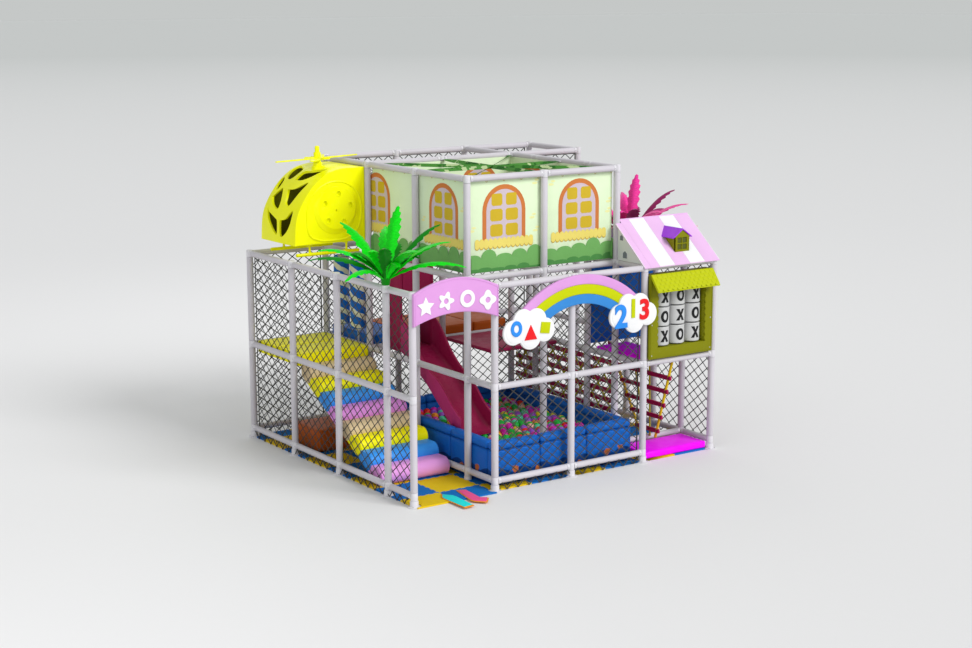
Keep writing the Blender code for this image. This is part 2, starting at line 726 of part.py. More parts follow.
def build_stairs():
    """Eight foam steps and the landing, its foam block and the corridor's padded deck."""
    deck_front = STEP_FRONT + STEP_COUNT * STEP_RUN
    colours = [PINK_FOAM, BLUE_FOAM, YELLOW_FOAM, BEIGE_FOAM, MAUVE_FOAM, BLUE_FOAM, YELLOW_FOAM, BEIGE_FOAM]
    left = COLUMNS[0] + STEP_SIDE
    right = COLUMNS[1] - STEP_SIDE
    for index in range(STEP_COUNT):
        mesh = plate_mesh(step_outline(index, deck_front), [], right - left, (left + right) / 2, "X")
        add_part(f"step_{index + 1}", mesh, colours[index])
    clear = POST_R + GAP
    deck = box_mesh((COLUMNS[0] + clear + NET_T + GAP, deck_front, DECK_TOP - DECK_T),
                    (COLUMNS[1] - clear, ROWS[4] - clear, DECK_TOP))
    add_part("deck_left", bevelled(deck, PAD_BEVEL), YELLOW_FOAM)
    foot = MAT_T + GAP
    block = box_mesh((BLOCK_X[0], BLOCK_Y[0], foot), (BLOCK_X[1], BLOCK_Y[1], foot + BLOCK_H))
    add_part("foam_block", bevelled(block, BLOCK_BEVEL), ORANGE_FOAM)
    pad = box_mesh((COLUMNS[1] + clear, ROWS[3] + clear, CORRIDOR_TOP - CORRIDOR_T),
                   (COLUMNS[3] - clear, ROWS[4] - clear, CORRIDOR_TOP))
    add_part("corridor_pad", bevelled(pad, PAD_BEVEL), BLUE_FOAM)
    mid = box_mesh((COLUMNS[2], ROWS[2], LEVEL_1 - MID_DECK_T / 2),
                   (COLUMNS[3] - clear, ROWS[3] - clear, LEVEL_1 + MID_DECK_T / 2))
    add_part("deck_mid", bevelled(mid, PAD_BEVEL), CRIMSON)


def build_rollers():
    """Two padded rollers that turn on the rods of the left middle wall."""
    bore = ROLLER_ROD_R + BORE_CLEARANCE
    profile = [(bore, ROLLER_Z[1]), (ROLLER_R, ROLLER_Z[1]), (ROLLER_R, ROLLER_Z[0]), (bore, ROLLER_Z[0])]
    for index, y in enumerate(ROLLER_Y):
        add_part(f"roller_{index + 1}", ring_mesh(profile, ROLLER_SIDES, (COLUMNS[1], y, 0.0)), BLUE_FOAM,
                 (COLUMNS[1], y, 0.0))


def ring_mesh(profile, sides, offset):
    """A turned ring whose profile closes on itself."""
    mesh = turned_mesh(profile + profile[:1], sides)
    return moved(mesh, offset)


# Slide
def build_slide():
    """Trough of the slide and the hood over its top."""
    x0 = COLUMNS[1] + POST_R + PIT_WALL + 4 * GAP
    x1 = x0 + SLIDE_W
    middle = (x0 + x1) / 2
    outer = plate_mesh(SLIDE_UNDER + SLIDE_EDGE[::-1], [], SLIDE_W, middle, "X")
    bed = [(y, z + SLIDE_BED) for y, z in SLIDE_UNDER]
    bed[0] = (bed[0][0] + REACH, bed[0][1])
    bed[-1] = (bed[-1][0] - REACH, bed[-1][1])
    above = [(bed[-1][0], HOOD_TOP), (bed[0][0], HOOD_TOP)]
    channel = plate_mesh(bed + above, [], SLIDE_W - 2 * SLIDE_WALL, middle, "X")
    add_part("slide", cut(outer, [channel]), CRIMSON)
    floor_z = SLIDE_UNDER[0][1]
    hood_back = ROWS[3] - RAIL_R - GAP
    front = SLIDE_UNDER[0][0] + GAP
    shell = box_mesh((x0, front, floor_z), (x1, hood_back, HOOD_TOP))
    inner = (x0 + HOOD_WALL, x1 - HOOD_WALL)
    door = box_mesh((inner[0], front - REACH, floor_z + SLIDE_BED),
                    (inner[1], hood_back + REACH, HOOD_DOOR_TOP))
    room = box_mesh((inner[0], front + HOOD_WALL, floor_z + 2 * SLIDE_BED),
                    (inner[1], hood_back + REACH, HOOD_TOP - HOOD_WALL))
    add_part("slide_hood", cut(shell, [door, room]), CRIMSON)


# Ball pit
def build_pit():
    """Padded ring wall and the bed of balls inside it."""
    x0 = COLUMNS[1] + POST_R + GAP
    foot = MAT_T + GAP
    outer = box_mesh((x0, PIT_Y0, foot), (PIT_X1, PIT_Y1, PIT_TOP))
    inner_lo = (x0 + PIT_WALL, PIT_Y0 + PIT_WALL, -REACH)
    inner_hi = (PIT_X1 - PIT_WALL, PIT_Y1 - PIT_WALL, PIT_TOP + REACH)
    wall = cut(outer, [box_mesh(inner_lo, inner_hi)])
    add_part("pit_wall", bevelled_top(wall, PIT_TOP, PIT_BEVEL), BLUE_FOAM)
    balls = box_mesh((inner_lo[0] + GAP, inner_lo[1] + GAP, foot),
                     (inner_hi[0] - GAP, inner_hi[1] - GAP, BALL_TOP))
    post_hole = tube_mesh((COLUMNS[2], ROWS[1], -REACH), (COLUMNS[2], ROWS[1], PIT_TOP),
                          POST_R + BALL_POST_CLEARANCE)
    add_part("ball_bed", cut(balls, [post_hole]), BALLS)


# Boards on the front
def build_sign():
    """Arched entrance sign between the two left front posts."""
    middle = (SIGN_X[0] + SIGN_X[1]) / 2
    half = (SIGN_X[1] - SIGN_X[0]) / 2
    xs = [SIGN_X[0] + 2 * half * i / SIGN_SEGMENTS for i in range(SIGN_SEGMENTS + 1)]
    top = [(x, SIGN_TOP_END + SIGN_TOP_RISE * (1 - ((x - middle) / half) ** 2)) for x in xs]
    foot = [(x, SIGN_FOOT_END + SIGN_FOOT_RISE * (1 - ((x - middle) / half) ** 2)) for x in xs]
    mesh = plate_mesh(foot + top[::-1], [], BOARD_T, -POST_R - GAP - BOARD_T / 2, "Y")
    add_part("entrance_sign", mesh, SIGN_LILAC)


def build_rainbow():
    """Rainbow board with a cloud over each end."""
    start = math.pi / 2 + RAINBOW_HALF_ANGLE
    end = math.pi / 2 - RAINBOW_HALF_ANGLE
    inner_r = RAINBOW_R - RAINBOW_BANDS * RAINBOW_BAND
    outline = arc(RAINBOW_CENTRE, RAINBOW_R, start, end, RAINBOW_SEGMENTS)
    outline += arc(RAINBOW_CENTRE, inner_r, end, start, RAINBOW_SEGMENTS)
    back = -POST_R - GAP
    meshes = [plate_mesh(outline, [], BOARD_T, back - BOARD_T / 2, "Y")]
    cloud_y = back - BOARD_T + CLOUD_LAP
    for centre in CLOUD_CENTRES:
        lobes = []
        for index, (dx, dz, radius) in enumerate(CLOUD_LOBES):
            nudge = CLOUD_LOBE_STEP * index
            place = (centre[0] + dx, cloud_y - nudge, centre[1] + dz)
            far = (place[0], cloud_y - CLOUD_T + nudge, place[2])
            lobes.append(tube_mesh(place, far, radius, CLOUD_SIDES))
        meshes.append(fused(lobes))
    add_part("rainbow_board", fused(meshes), SIGN_LILAC)


# Crown
def build_house():
    """Printed panels inside the crown's tubes, and the crossed straps above them."""
    inset = POST_R + GAP
    foot = LEVEL_2 + RAIL_R + HOUSE_FOOT_GAP
    head = LEVEL_3 - HOUSE_HEAD_GAP
    lo = (COLUMNS[1] + inset, ROWS[1] + inset, foot)
    hi = (COLUMNS[3] - inset, ROWS[3] - inset, head)
    ring = box_mesh(lo, hi)
    room_lo = (lo[0] + HOUSE_PANEL_T, lo[1] + HOUSE_PANEL_T, foot - REACH)
    room_hi = (hi[0] - HOUSE_PANEL_T, hi[1] - HOUSE_PANEL_T, head + REACH)
    add_part("house_cover", cut(ring, [box_mesh(room_lo, room_hi)]), HOUSE_PRINT)
    centre = (COLUMNS[2], (ROWS[1] + ROWS[3]) / 2)
    straight = BAY - POST_R - GAP
    diagonal = math.hypot(BAY, BAY) - STRAP_CORNER_CUT
    half = STRAP_W / 2
    arm_angle = math.pi / STRAP_COUNT
    notch = half / math.sin(arm_angle / 2)
    outline = []
    for arm in range(2 * STRAP_COUNT):
        turn = Matrix.Rotation(arm * arm_angle, 2)
        length = diagonal if arm % 2 else straight
        for point in ((length, -half), (length, half)):
            outline.append(turn @ Vector(point))
        corner = Matrix.Rotation((arm + 0.5) * arm_angle, 2) @ Vector((notch, 0.0))
        outline.append(corner)
    outline = [(p.x + centre[0], p.y + centre[1]) for p in outline]
    add_part("roof_straps", plate_mesh(outline, [], STRAP_T, LEVEL_3, "Z"), STRAP_GREEN)


def roof_line():
    """Ridge position, slope of the striped roof and the thickness measured upright."""
    ridge_y = SUB_ROW / 2
    slope = (ROOF_RIDGE_Z - ROOF_EAVE_Z) / (ridge_y - ROOF_EAVE_Y)
    upright = ROOF_T * math.hypot(1.0, slope)
    return ridge_y, slope, upright


def build_roof():
    """Pitched striped roof over the right bay, with its gable board and the dormer."""
    ridge_y, slope, upright = roof_line()
    eave_z = ROOF_EAVE_Z
    back_y = SUB_ROW
    back_z = ROOF_RIDGE_Z - slope * (back_y - ridge_y)
    outline = [(ROOF_EAVE_Y, eave_z), (ROOF_EAVE_Y, eave_z - upright), (ridge_y, ROOF_RIDGE_Z - upright),
               (back_y, back_z - upright), (back_y, back_z), (ridge_y, ROOF_RIDGE_Z)]
    roof = plate_mesh(outline, [], ROOF_X1 - ROOF_X0, (ROOF_X0 + ROOF_X1) / 2, "X")
    clear = POST_R + GAP
    wall = box_mesh((ROOF_X0 - REACH, ROWS[1] - clear, LEVEL_2),
                    (COLUMNS[3] + clear, back_y + REACH, LEVEL_3))
    roof = cut(roof, [wall])
    gable_foot = LEVEL_2 + RAIL_R + GAP
    gable_end = ROWS[1] - clear
    gable_front = (gable_foot - ROOF_EAVE_Z) / slope + ROOF_EAVE_Y + REACH
    inner = upright / 2
    gable = plate_mesh(
        [(gable_front, gable_foot), (gable_end, gable_foot),
         (gable_end, ROOF_EAVE_Z + (gable_end - ROOF_EAVE_Y) * slope - inner),
         (gable_front, ROOF_EAVE_Z + (gable_front - ROOF_EAVE_Y) * slope - inner)],
        [], GABLE_T, COLUMNS[3], "X")
    add_part("striped_roof", fused([roof, gable]), ROOF_PINK)
    middle = (DORMER_X[0] + DORMER_X[1]) / 2
    eave_left = DORMER_X[0] - DORMER_OVERHANG
    eave_right = DORMER_X[1] + DORMER_OVERHANG
    drop = DORMER_ROOF_T / 2
    outline = [(DORMER_X[0], LEVEL_2), (DORMER_X[1], LEVEL_2), (DORMER_X[1], DORMER_EAVE),
               (eave_right, DORMER_EAVE - drop), (eave_right, DORMER_EAVE + drop), (middle, DORMER_APEX),
               (eave_left, DORMER_EAVE + drop), (eave_left, DORMER_EAVE - drop), (DORMER_X[0], DORMER_EAVE)]
    depth = ridge_y - DORMER_FRONT
    house = plate_mesh(outline, [], depth, DORMER_FRONT + depth / 2, "Y")
    lift = 2 * GAP
    below = plate_mesh(
        [(ROOF_EAVE_Y, eave_z + lift), (ridge_y + REACH, ROOF_RIDGE_Z + REACH * slope + lift),
         (ridge_y + REACH, LEVEL_2 - REACH), (ROOF_EAVE_Y, LEVEL_2 - REACH)],
        [], eave_right - eave_left + REACH, middle, "X")
    add_part("dormer", cut(house, [below]), OLIVE)


def build_awning():
    """Shingled awning on the game's face."""
    wall_y = -POST_R - GAP - GAME_PLATE_T - GAP
    outline = [(wall_y, AWNING_TOP), (wall_y, AWNING_TOP - AWNING_ROOT),
               (AWNING_FRONT + AWNING_T / 2, AWNING_TOP - AWNING_FALL - AWNING_T / 2),
               (AWNING_FRONT, AWNING_TOP - AWNING_FALL)]
    mesh = plate_mesh(outline, [], AWNING_X[1] - AWNING_X[0], (AWNING_X[0] + AWNING_X[1]) / 2, "X")
    add_part("awning", mesh, AWNING_OLIVE)


# Game
def build_game():
    """Frame with three upright rods and nine turning drums."""
    plate_back = -POST_R - GAP
    clear = POST_R + GAP
    plate = box_mesh((GAME_X[0], plate_back - GAME_PLATE_T, GAME_Z[0]), (GAME_X[1], plate_back, GAME_Z[1]))
    case = box_mesh((COLUMNS[3] + clear + GAP, plate_back - GAME_PLATE_T / 2, GAME_Z[0] + GAME_CASE_INSET),
                    (COLUMNS[4] - clear - GAP, GAME_BOX_BACK, GAME_Z[1] - GAME_CASE_INSET))
    frame = fused([plate, case])
    opening = box_mesh((GAME_OPEN_X[0], plate_back - GAME_PLATE_T - REACH, GAME_OPEN_Z[0]),
                       (GAME_OPEN_X[1], GAME_BOX_BACK + REACH, GAME_OPEN_Z[1]))
    frame = cut(frame, [opening])
    column_pitch = (GAME_OPEN_X[1] - GAME_OPEN_X[0]) / GAME_SIZE
    row_pitch = (GAME_OPEN_Z[1] - GAME_OPEN_Z[0]) / GAME_SIZE
    centres = [GAME_OPEN_X[0] + (i + 0.5) * column_pitch for i in range(GAME_SIZE)]
    rods = [tube_mesh((x, GAME_ROD_Y, GAME_OPEN_Z[0] - REACH / 2),
                      (x, GAME_ROD_Y, GAME_OPEN_Z[1] + REACH / 2), GAME_ROD_R, ROD_SIDES) for x in centres]
    spacers = []
    for x in centres:
        for row in range(GAME_SIZE):
            foot = GAME_OPEN_Z[0] + row * row_pitch
            start = foot - (REACH / 2 if row == 0 else 0.0)
            spacers.append(tube_mesh((x, GAME_ROD_Y, start), (x, GAME_ROD_Y, foot + DRUM_SPACER_H),
                                     DRUM_SPACER_R, ROD_SIDES))
    frame = fused([frame, combined(rods), combined(spacers)])
    add_part("game_frame", frame, OLIVE)
    bore = GAME_ROD_R + BORE_CLEARANCE
    drum_foot = DRUM_SPACER_H + GAP
    for row in range(GAME_SIZE):
        foot = GAME_OPEN_Z[0] + (GAME_SIZE - 1 - row) * row_pitch
        profile = [(bore, foot + row_pitch - GAP), (DRUM_R, foot + row_pitch - GAP), (DRUM_R, foot + drum_foot),
                   (bore, foot + drum_foot)]
        for column, x in enumerate(centres):
            place = (x, GAME_ROD_Y, 0.0)
            add_part(f"drum_{row + 1}_{column + 1}", ring_mesh(profile, DRUM_SIDES, place), DRUM_WHITE, place)


# Helicopter
def cabin_height(x):
    """Height of the cabin's outer skin at a distance along the nose."""
    for (x0, z0), (x1, z1) in zip(CABIN_NOSE, CABIN_NOSE[1:]):
        if x0 <= x <= x1:
            return z0 + (z1 - z0) * (x - x0) / (x1 - x0)
    return CABIN_NOSE[-1][1]


def build_cabin():
    """Hollow cabin, open towards the crown, with nose windows and a raised disc on its side."""
    rear = COLUMNS[1] - POST_R - GAP
    roof_z = CABIN_NOSE[-1][1]
    middle = (CABIN_Y[0] + CABIN_Y[1]) / 2
    width = CABIN_Y[1] - CABIN_Y[0]
    outline = [(rear, CABIN_FLOOR)] + CABIN_NOSE + [(rear, roof_z)]
    body = plate_mesh(outline, [], width, middle, "Y")
    inner = [(rear + REACH, CABIN_FLOOR + CABIN_WALL)]
    for index, (x, z) in enumerate(CABIN_NOSE):
        before = CABIN_NOSE[max(index - 1, 0)]
        after = CABIN_NOSE[min(index + 1, len(CABIN_NOSE) - 1)]
        along = Vector((after[0] - before[0], after[1] - before[1])).normalized()
        inner.append((x + along.y * CABIN_WALL, z - along.x * CABIN_WALL))
    inner[1] = (inner[1][0], CABIN_FLOOR + CABIN_WALL)
    inner.append((rear + REACH, inner[-1][1]))
    room = plate_mesh(inner, [], width - 2 * CABIN_WALL, middle, "Y")
    side = CABIN_Y[0]
    disc = tube_mesh((CABIN_DISC[0], side - CABIN_DISC_T, CABIN_DISC[1]),
                     (CABIN_DISC[0], side + CABIN_WALL / 2, CABIN_DISC[1]), CABIN_DISC_R, CABIN_DISC_SIDES)
    boss_foot = cabin_height(ROTOR_AXIS[0] - ROTOR_BOSS_R) - CABIN_WALL / 2
    boss = turned_mesh([(0.0, ROTOR_PIN_TOP), (ROTOR_PIN_R, ROTOR_PIN_TOP), (ROTOR_PIN_R, ROTOR_BOSS_TOP),
                        (ROTOR_BOSS_R, ROTOR_BOSS_TOP), (ROTOR_BOSS_R, boss_foot), (0.0, boss_foot)], ROD_SIDES)
    moved(boss, (ROTOR_AXIS[0], ROTOR_AXIS[1], 0.0))
    holes = []
    places = [(0.0, 0.0)]
    for index in range(CABIN_HOLE_COUNT):
        angle = CABIN_HOLE_TURN + index * 2 * math.pi / CABIN_HOLE_COUNT
        places.append((CABIN_HOLE_RING * math.cos(angle), CABIN_HOLE_RING * math.sin(angle)))
    for dx, dz in places:
        centre = (CABIN_DISC[0] + dx, CABIN_DISC[1] + dz)
        holes.append(tube_mesh((centre[0], side - REACH, centre[1]),
                               (centre[0], side + CABIN_WALL + REACH, centre[1]), CABIN_HOLE_R))
    windows = [plate_mesh(window, [], NOSE_WINDOW_DEPTH, 0.0, "X") for window in NOSE_WINDOWS]
    body = fused([body, disc])
    body = cut(body, [room, combined(holes), combined(windows)])
    add_part("heli_cabin", fused([body, boss]), HELI_YELLOW)


def build_skids():
    """Two skids on struts and cross tubes under the cabin."""
    cross_z = CABIN_FLOOR - GAP - STRUT_R
    skids = [tube_mesh((SKID_X[0], y, SKID_Z), (SKID_X[1], y, SKID_Z), SKID_R) for y in SKID_Y]
    crosses = [tube_mesh((x, SKID_Y[0] - REACH, cross_z), (x, SKID_Y[1] + REACH, cross_z), STRUT_R)
               for x in STRUT_X]
    struts = [tube_mesh((x, y, SKID_Z), (x, y, cross_z), STRUT_UPRIGHT_R) for x in STRUT_X for y in SKID_Y]
    add_part("heli_skids", fused([combined(skids), combined(struts), combined(crosses)]), HELI_YELLOW)


def build_rotor():
    """Hub, tip and four blades that turn on the cabin's pin."""
    hub = turned_mesh([(0.0, ROTOR_TIP_TOP), (ROTOR_TIP_R, ROTOR_TIP_TOP), (ROTOR_HUB_R, ROTOR_HUB_TOP),
                       (ROTOR_HUB_R, ROTOR_BOSS_TOP + GAP), (0.0, ROTOR_BOSS_TOP + GAP)], ROD_SIDES)
    blades = []
    half = ROTOR_BLADE_T / 2
    for index, (reach, width, angle) in enumerate((ROTOR_LONG, ROTOR_SHORT)):
        rise = index * ROTOR_BLADE_STEP
        blade = box_mesh((-reach, -width / 2, ROTOR_BLADE_Z - half + rise),
                         (reach, width / 2, ROTOR_BLADE_Z + half - rise))
        blades.append(moved(blade, (0.0, 0.0, 0.0), angle))
    bore = tube_mesh((0.0, 0.0, ROTOR_BOSS_TOP - REACH), (0.0, 0.0, ROTOR_PIN_TOP + GAP),
                     ROTOR_PIN_R + BORE_CLEARANCE, ROD_SIDES)
    place = (ROTOR_AXIS[0], ROTOR_AXIS[1], 0.0)
    rotor = cut(fused([hub] + blades), [bore])
    add_part("rotor", moved(rotor, place), HELI_YELLOW, place)


# Palms
def leaf_mesh(azimuth, length, rise):
    """A drooping leaf as a loft of flat diamonds that ends in a point."""
    bm = bmesh.new()
    rings = []
    for index in range(LEAF_SECTIONS):
        share = index / LEAF_SECTIONS
        out = LEAF_ROOT + (length - LEAF_ROOT) * share
        height = rise * share + 4 * LEAF_ARCH * share * (1 - share)
        half_w = LEAF_W / 2 * math.sin(math.pi * (0.05 + 0.9 * share))
        half_t = LEAF_T / 2 * (1.4 - share)
        centre = Vector((out, 0.0, height))
        rings.append([bm.verts.new(centre + Vector(offset)) for offset in
                      ((0.0, half_w, 0.0), (0.0, 0.0, half_t), (0.0, -half_w, 0.0), (0.0, 0.0, -half_t))])
    tip = bm.verts.new((length, 0.0, rise))
    for first, second in zip(rings, rings[1:]):
        for side in range(4):
            follow = (side + 1) % 4
            bm.faces.new((first[side], first[follow], second[follow], second[side]))
    for side in range(4):
        bm.faces.new((rings[-1][side], rings[-1][(side + 1) % 4], tip))
    bm.faces.new(rings[0])
    return moved(mesh_from(bm, "leaf"), (0.0, 0.0, 0.0), math.radians(azimuth))


def build_palm(name, x, y, mat):
    """A palm that stands on a post's top."""
    foot = LEVEL_2 + POST_RISE + GAP
    hub = tube_mesh((0.0, 0.0, 0.0), (0.0, 0.0, PALM_HUB_H), POST_R, PALM_HUB_SIDES, PALM_HUB_R)
    pieces = [hub]
    for index, (azimuth, length, rise) in enumerate(LEAVES + [TALL_LEAF]):
        base = PALM_HUB_H / 2 + LEAF_TIER * (index % 3)
        pieces.append(moved(leaf_mesh(azimuth, length, rise - base), (0.0, 0.0, base)))
    palm = fused(pieces)
    add_part(name, moved(palm, (x, y, foot)), mat)


# Right bay
def build_right_bay():
    """Pads, panel, rope ladder and plank net."""
    clear = POST_R + GAP
    foot = MAT_T + GAP
    pad = box_mesh((COLUMNS[3] + COLLAR_R + GAP, 0.0, foot),
                   (COLUMNS[4] - COLLAR_R - GAP, FLOOR_PAD_Y1, foot + FLOOR_PAD_H))
    add_part("floor_pad_magenta", bevelled(pad, PAD_BEVEL), MAGENTA)
    half_deck = box_mesh((COLUMNS[3] + clear, GAME_BOX_BACK + GAP, HALF_DECK_Z0),
                         (HALF_DECK_X1, HALF_DECK_Y1, HALF_DECK_Z0 + HALF_DECK_T))
    add_part("deck_pad_magenta", bevelled(half_deck, PAD_BEVEL), MAGENTA)
    panel = box_mesh((COLUMNS[3] + clear, SUB_ROW - BLUE_PANEL_T / 2, BLUE_PANEL_Z[0]),
                     (COLUMNS[4] - clear, SUB_ROW + BLUE_PANEL_T / 2, BLUE_PANEL_Z[1]))
    add_part("blue_panel", panel, BLUE_FOAM)


def ladder_rope_y(share, z):
    """Y of a ladder rope at a height; share 0 is the front rope and 1 the back one."""
    down = (LADDER_TOP - z) / (LADDER_TOP - LADDER_FOOT)
    front = LADDER_Y_TOP[0] + down * (LADDER_Y_FOOT[0] - LADDER_Y_TOP[0])
    rear = LADDER_Y_TOP[1] + down * (LADDER_Y_FOOT[1] - LADDER_Y_TOP[1])
    return front + share * (rear - front)


def build_ladder():
    """Two outer and two inner ropes that draw together, with rungs along Y and a top bar."""
    ropes = []
    for share in (0.0, *LADDER_INNER, 1.0):
        ropes.append(tube_mesh((LADDER_X, ladder_rope_y(share, LADDER_TOP), LADDER_TOP),
                               (LADDER_X, ladder_rope_y(share, LADDER_FOOT), LADDER_FOOT), LADDER_ROPE_R,
                               LADDER_ROPE_SIDES))
    half_t = RUNG_T / 2
    rungs = []
    for z in RUNG_Z:
        y0 = ladder_rope_y(0.0, z) - RUNG_H
        y1 = ladder_rope_y(1.0, z) + RUNG_H
        rungs.append(box_mesh((LADDER_X - half_t, y0, z - RUNG_H / 2),
                              (LADDER_X + half_t, y1, z + RUNG_H / 2)))
    bar_top = HALF_DECK_Z0 - GAP
    bar = box_mesh((LADDER_X - half_t, LADDER_Y_TOP[0] - RUNG_H, bar_top - RUNG_H),
                   (LADDER_X + half_t, LADDER_Y_TOP[1] + RUNG_H, bar_top))
    add_part("rope_ladder", fused([combined(ropes), combined(rungs + [bar])]), LADDER_YELLOW)


def build_plank_net():
    """Flat net of planks and slanting ropes beside the right middle posts."""
    clear = POST_R + GAP
    y0 = ROWS[1] + clear
    y1 = ROWS[3] - clear
    foot = PLANK_TOP - (PLANK_COUNT - 1) * PLANK_PITCH - PLANK_H
    holes = []
    for index in range(PLANK_COUNT - 1):
        gap_top = PLANK_TOP - PLANK_H - index * PLANK_PITCH
        gap_foot = gap_top - PLANK_PITCH + PLANK_H
        holes += band_holes(y0, y1, gap_foot, gap_top, foot)
    outline = [(y0, foot), (y1, foot), (y1, PLANK_TOP), (y0, PLANK_TOP)]
    mesh = plate_mesh(outline, holes, PLANK_T, COLUMNS[3] + clear + PLANK_T / 2, "X")
    add_part("plank_net", mesh, PLANK_MAROON)


def band_holes(y0, y1, z0, z1, foot):
    """Gaps between two planks, divided by slanting ropes."""
    holes = []
    count = round((y1 - y0) / PLANK_CELL_W)
    width = (y1 - y0) / count
    slant = math.hypot(width, PLANK_CELL_H)
    half_w = width / 2 - PLANK_ROPE * slant / (2 * PLANK_CELL_H)
    half_h = PLANK_CELL_H / 2 - PLANK_ROPE * slant / (2 * width)
    for i in range(2 * count + 1):
        for j in range(2 * math.ceil((PLANK_TOP - foot) / PLANK_CELL_H) + 1):
            if (i + j) % 2:
                continue
            cy = y0 + i * width / 2
            cz = foot + j * PLANK_CELL_H / 2
            diamond = [(cy - half_w, cz), (cy, cz - half_h), (cy + half_w, cz), (cy, cz + half_h)]
            hole = clip(diamond, (y0 + PLANK_ROPE, z0), (y1 - PLANK_ROPE, z1))
            if len(hole) > 2 and polygon_area(hole) > PLANK_GAP_LEAST:
                holes.append(hole)
    return holes


clear_scene()
PARTS = make_collection("indoor_playground")
HELPERS = make_collection("cutters", hidden=True)

SLEEVE = material("sleeve_white", (0.88, 0.87, 0.9), 0.45)
NET_CORD = material("net_cord", (0.12, 0.12, 0.12), 0.8)
MAT_FOAM = material("mat_foam", (0.1, 0.35, 0.7), 0.8)
CYAN = material("arrow_cyan", (0.1, 0.85, 0.85), 0.7)
PINK = material("arrow_pink", (0.95, 0.3, 0.5), 0.7)
PINK_FOAM = material("foam_pink", (0.85, 0.55, 0.85), 0.5)
BLUE_FOAM = material("foam_blue", (0.12, 0.38, 0.8), 0.5)
YELLOW_FOAM = material("foam_yellow", (0.95, 0.88, 0.05), 0.5)
BEIGE_FOAM = material("foam_beige", (0.85, 0.75, 0.6), 0.5)
MAUVE_FOAM = material("foam_mauve", (0.8, 0.5, 0.75), 0.5)
ORANGE_FOAM = material("foam_orange", (0.8, 0.35, 0.1), 0.55)
CRIMSON = material("slide_crimson", (0.55, 0.08, 0.25), 0.35)
BALLS = material("balls", (0.3, 0.65, 0.3), 0.4)
SIGN_LILAC = material("sign_lilac", (0.93, 0.6, 0.93), 0.5)
HOUSE_PRINT = material("house_print", (0.8, 0.93, 0.7), 0.5)
STRAP_GREEN = material("strap_green", (0.15, 0.4, 0.15), 0.8)
ROOF_PINK = material("roof_pink", (0.93, 0.72, 0.93), 0.5)
OLIVE = material("olive", (0.6, 0.62, 0.04), 0.5)
AWNING_OLIVE = material("awning_olive", (0.8, 0.84, 0.05), 0.5)
DRUM_WHITE = material("drum_white", (0.85, 0.85, 0.85), 0.4)
HELI_YELLOW = material("heli_yellow", (1.0, 0.95, 0.02), 0.4)
PALM_GREEN = material("palm_green", (0.03, 0.7, 0.08), 0.5)
PALM_PINK = material("palm_pink", (0.9, 0.15, 0.5), 0.5)
MAGENTA = material("pad_magenta", (0.85, 0.02, 0.85), 0.45)
LADDER_YELLOW = material("ladder_rope", (0.85, 0.8, 0.1), 0.7)
PLANK_MAROON = material("plank_maroon", (0.45, 0.05, 0.2), 0.5)

build_frame()
build_nets()
build_floor()
build_stairs()
build_rollers()
build_slide()
build_pit()
build_sign()
build_rainbow()
build_house()
build_roof()
build_awning()
build_game()
build_cabin()
build_skids()
build_rotor()
build_palm("palm_green", COLUMNS[0], ROWS[1], PALM_GREEN)
build_palm("palm_pink", COLUMNS[4], ROWS[2], PALM_PINK)
build_right_bay()
build_ladder()
build_plank_net()
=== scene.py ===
"""Indoor playground: its foam, nets, boards and finishes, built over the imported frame."""

import math
import random

import bmesh
import bpy
from bpy.props import FloatProperty, FloatVectorProperty, IntProperty, PointerProperty
from mathutils import Matrix, Vector


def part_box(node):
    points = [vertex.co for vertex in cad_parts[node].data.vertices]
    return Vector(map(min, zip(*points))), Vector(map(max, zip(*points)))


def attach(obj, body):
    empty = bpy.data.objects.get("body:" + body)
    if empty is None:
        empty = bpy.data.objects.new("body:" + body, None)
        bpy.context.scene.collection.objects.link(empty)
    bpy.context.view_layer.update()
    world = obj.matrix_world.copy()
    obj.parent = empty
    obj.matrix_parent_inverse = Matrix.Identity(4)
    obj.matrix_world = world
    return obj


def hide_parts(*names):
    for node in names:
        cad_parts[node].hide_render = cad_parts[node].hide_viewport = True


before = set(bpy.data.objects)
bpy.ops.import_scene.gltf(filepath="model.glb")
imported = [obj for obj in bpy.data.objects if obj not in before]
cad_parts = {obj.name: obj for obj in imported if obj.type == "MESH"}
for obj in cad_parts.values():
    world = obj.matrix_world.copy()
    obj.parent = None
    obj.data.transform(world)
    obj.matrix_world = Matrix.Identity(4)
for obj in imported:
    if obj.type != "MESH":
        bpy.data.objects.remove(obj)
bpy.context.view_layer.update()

bl_info = {
    "name": "Indoor playground",
    "version": (1, 0, 0),
    "blender": (4, 5, 0),
    "location": "View3D > Sidebar > Playground",
    "description": "Builds the sleeves, nets, foam pieces and boards of an indoor playground",
    "category": "Add Mesh",
}

BODY = "playground"
# Places of the posts along X and Y, and heights of the rails' middles
COLUMNS = [0.0, 1.2, 2.4, 3.6, 4.8]
ROWS = [0.0, 0.6, 1.8, 3.0, 4.2]
LEVELS = [0.133, 1.339, 2.616, 3.879]
MAT_TOP = 0.0203
WELD = 0.00001
HAIR = 0.001


def corners(name):
    """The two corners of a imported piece's box."""
    return [Vector(corner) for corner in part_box(name)]


# Sizes and colours that can be changed in the sidebar
def length(name, description, default):
    """A length in metres."""
    return FloatProperty(name=name, description=description, default=default, min=0.0, unit="LENGTH",
                         precision=4)


def colour(name, description, default):
    """A colour."""
    return FloatVectorProperty(name=name, description=description, default=default, min=0.0, max=1.0, size=3,
                               subtype="COLOR")


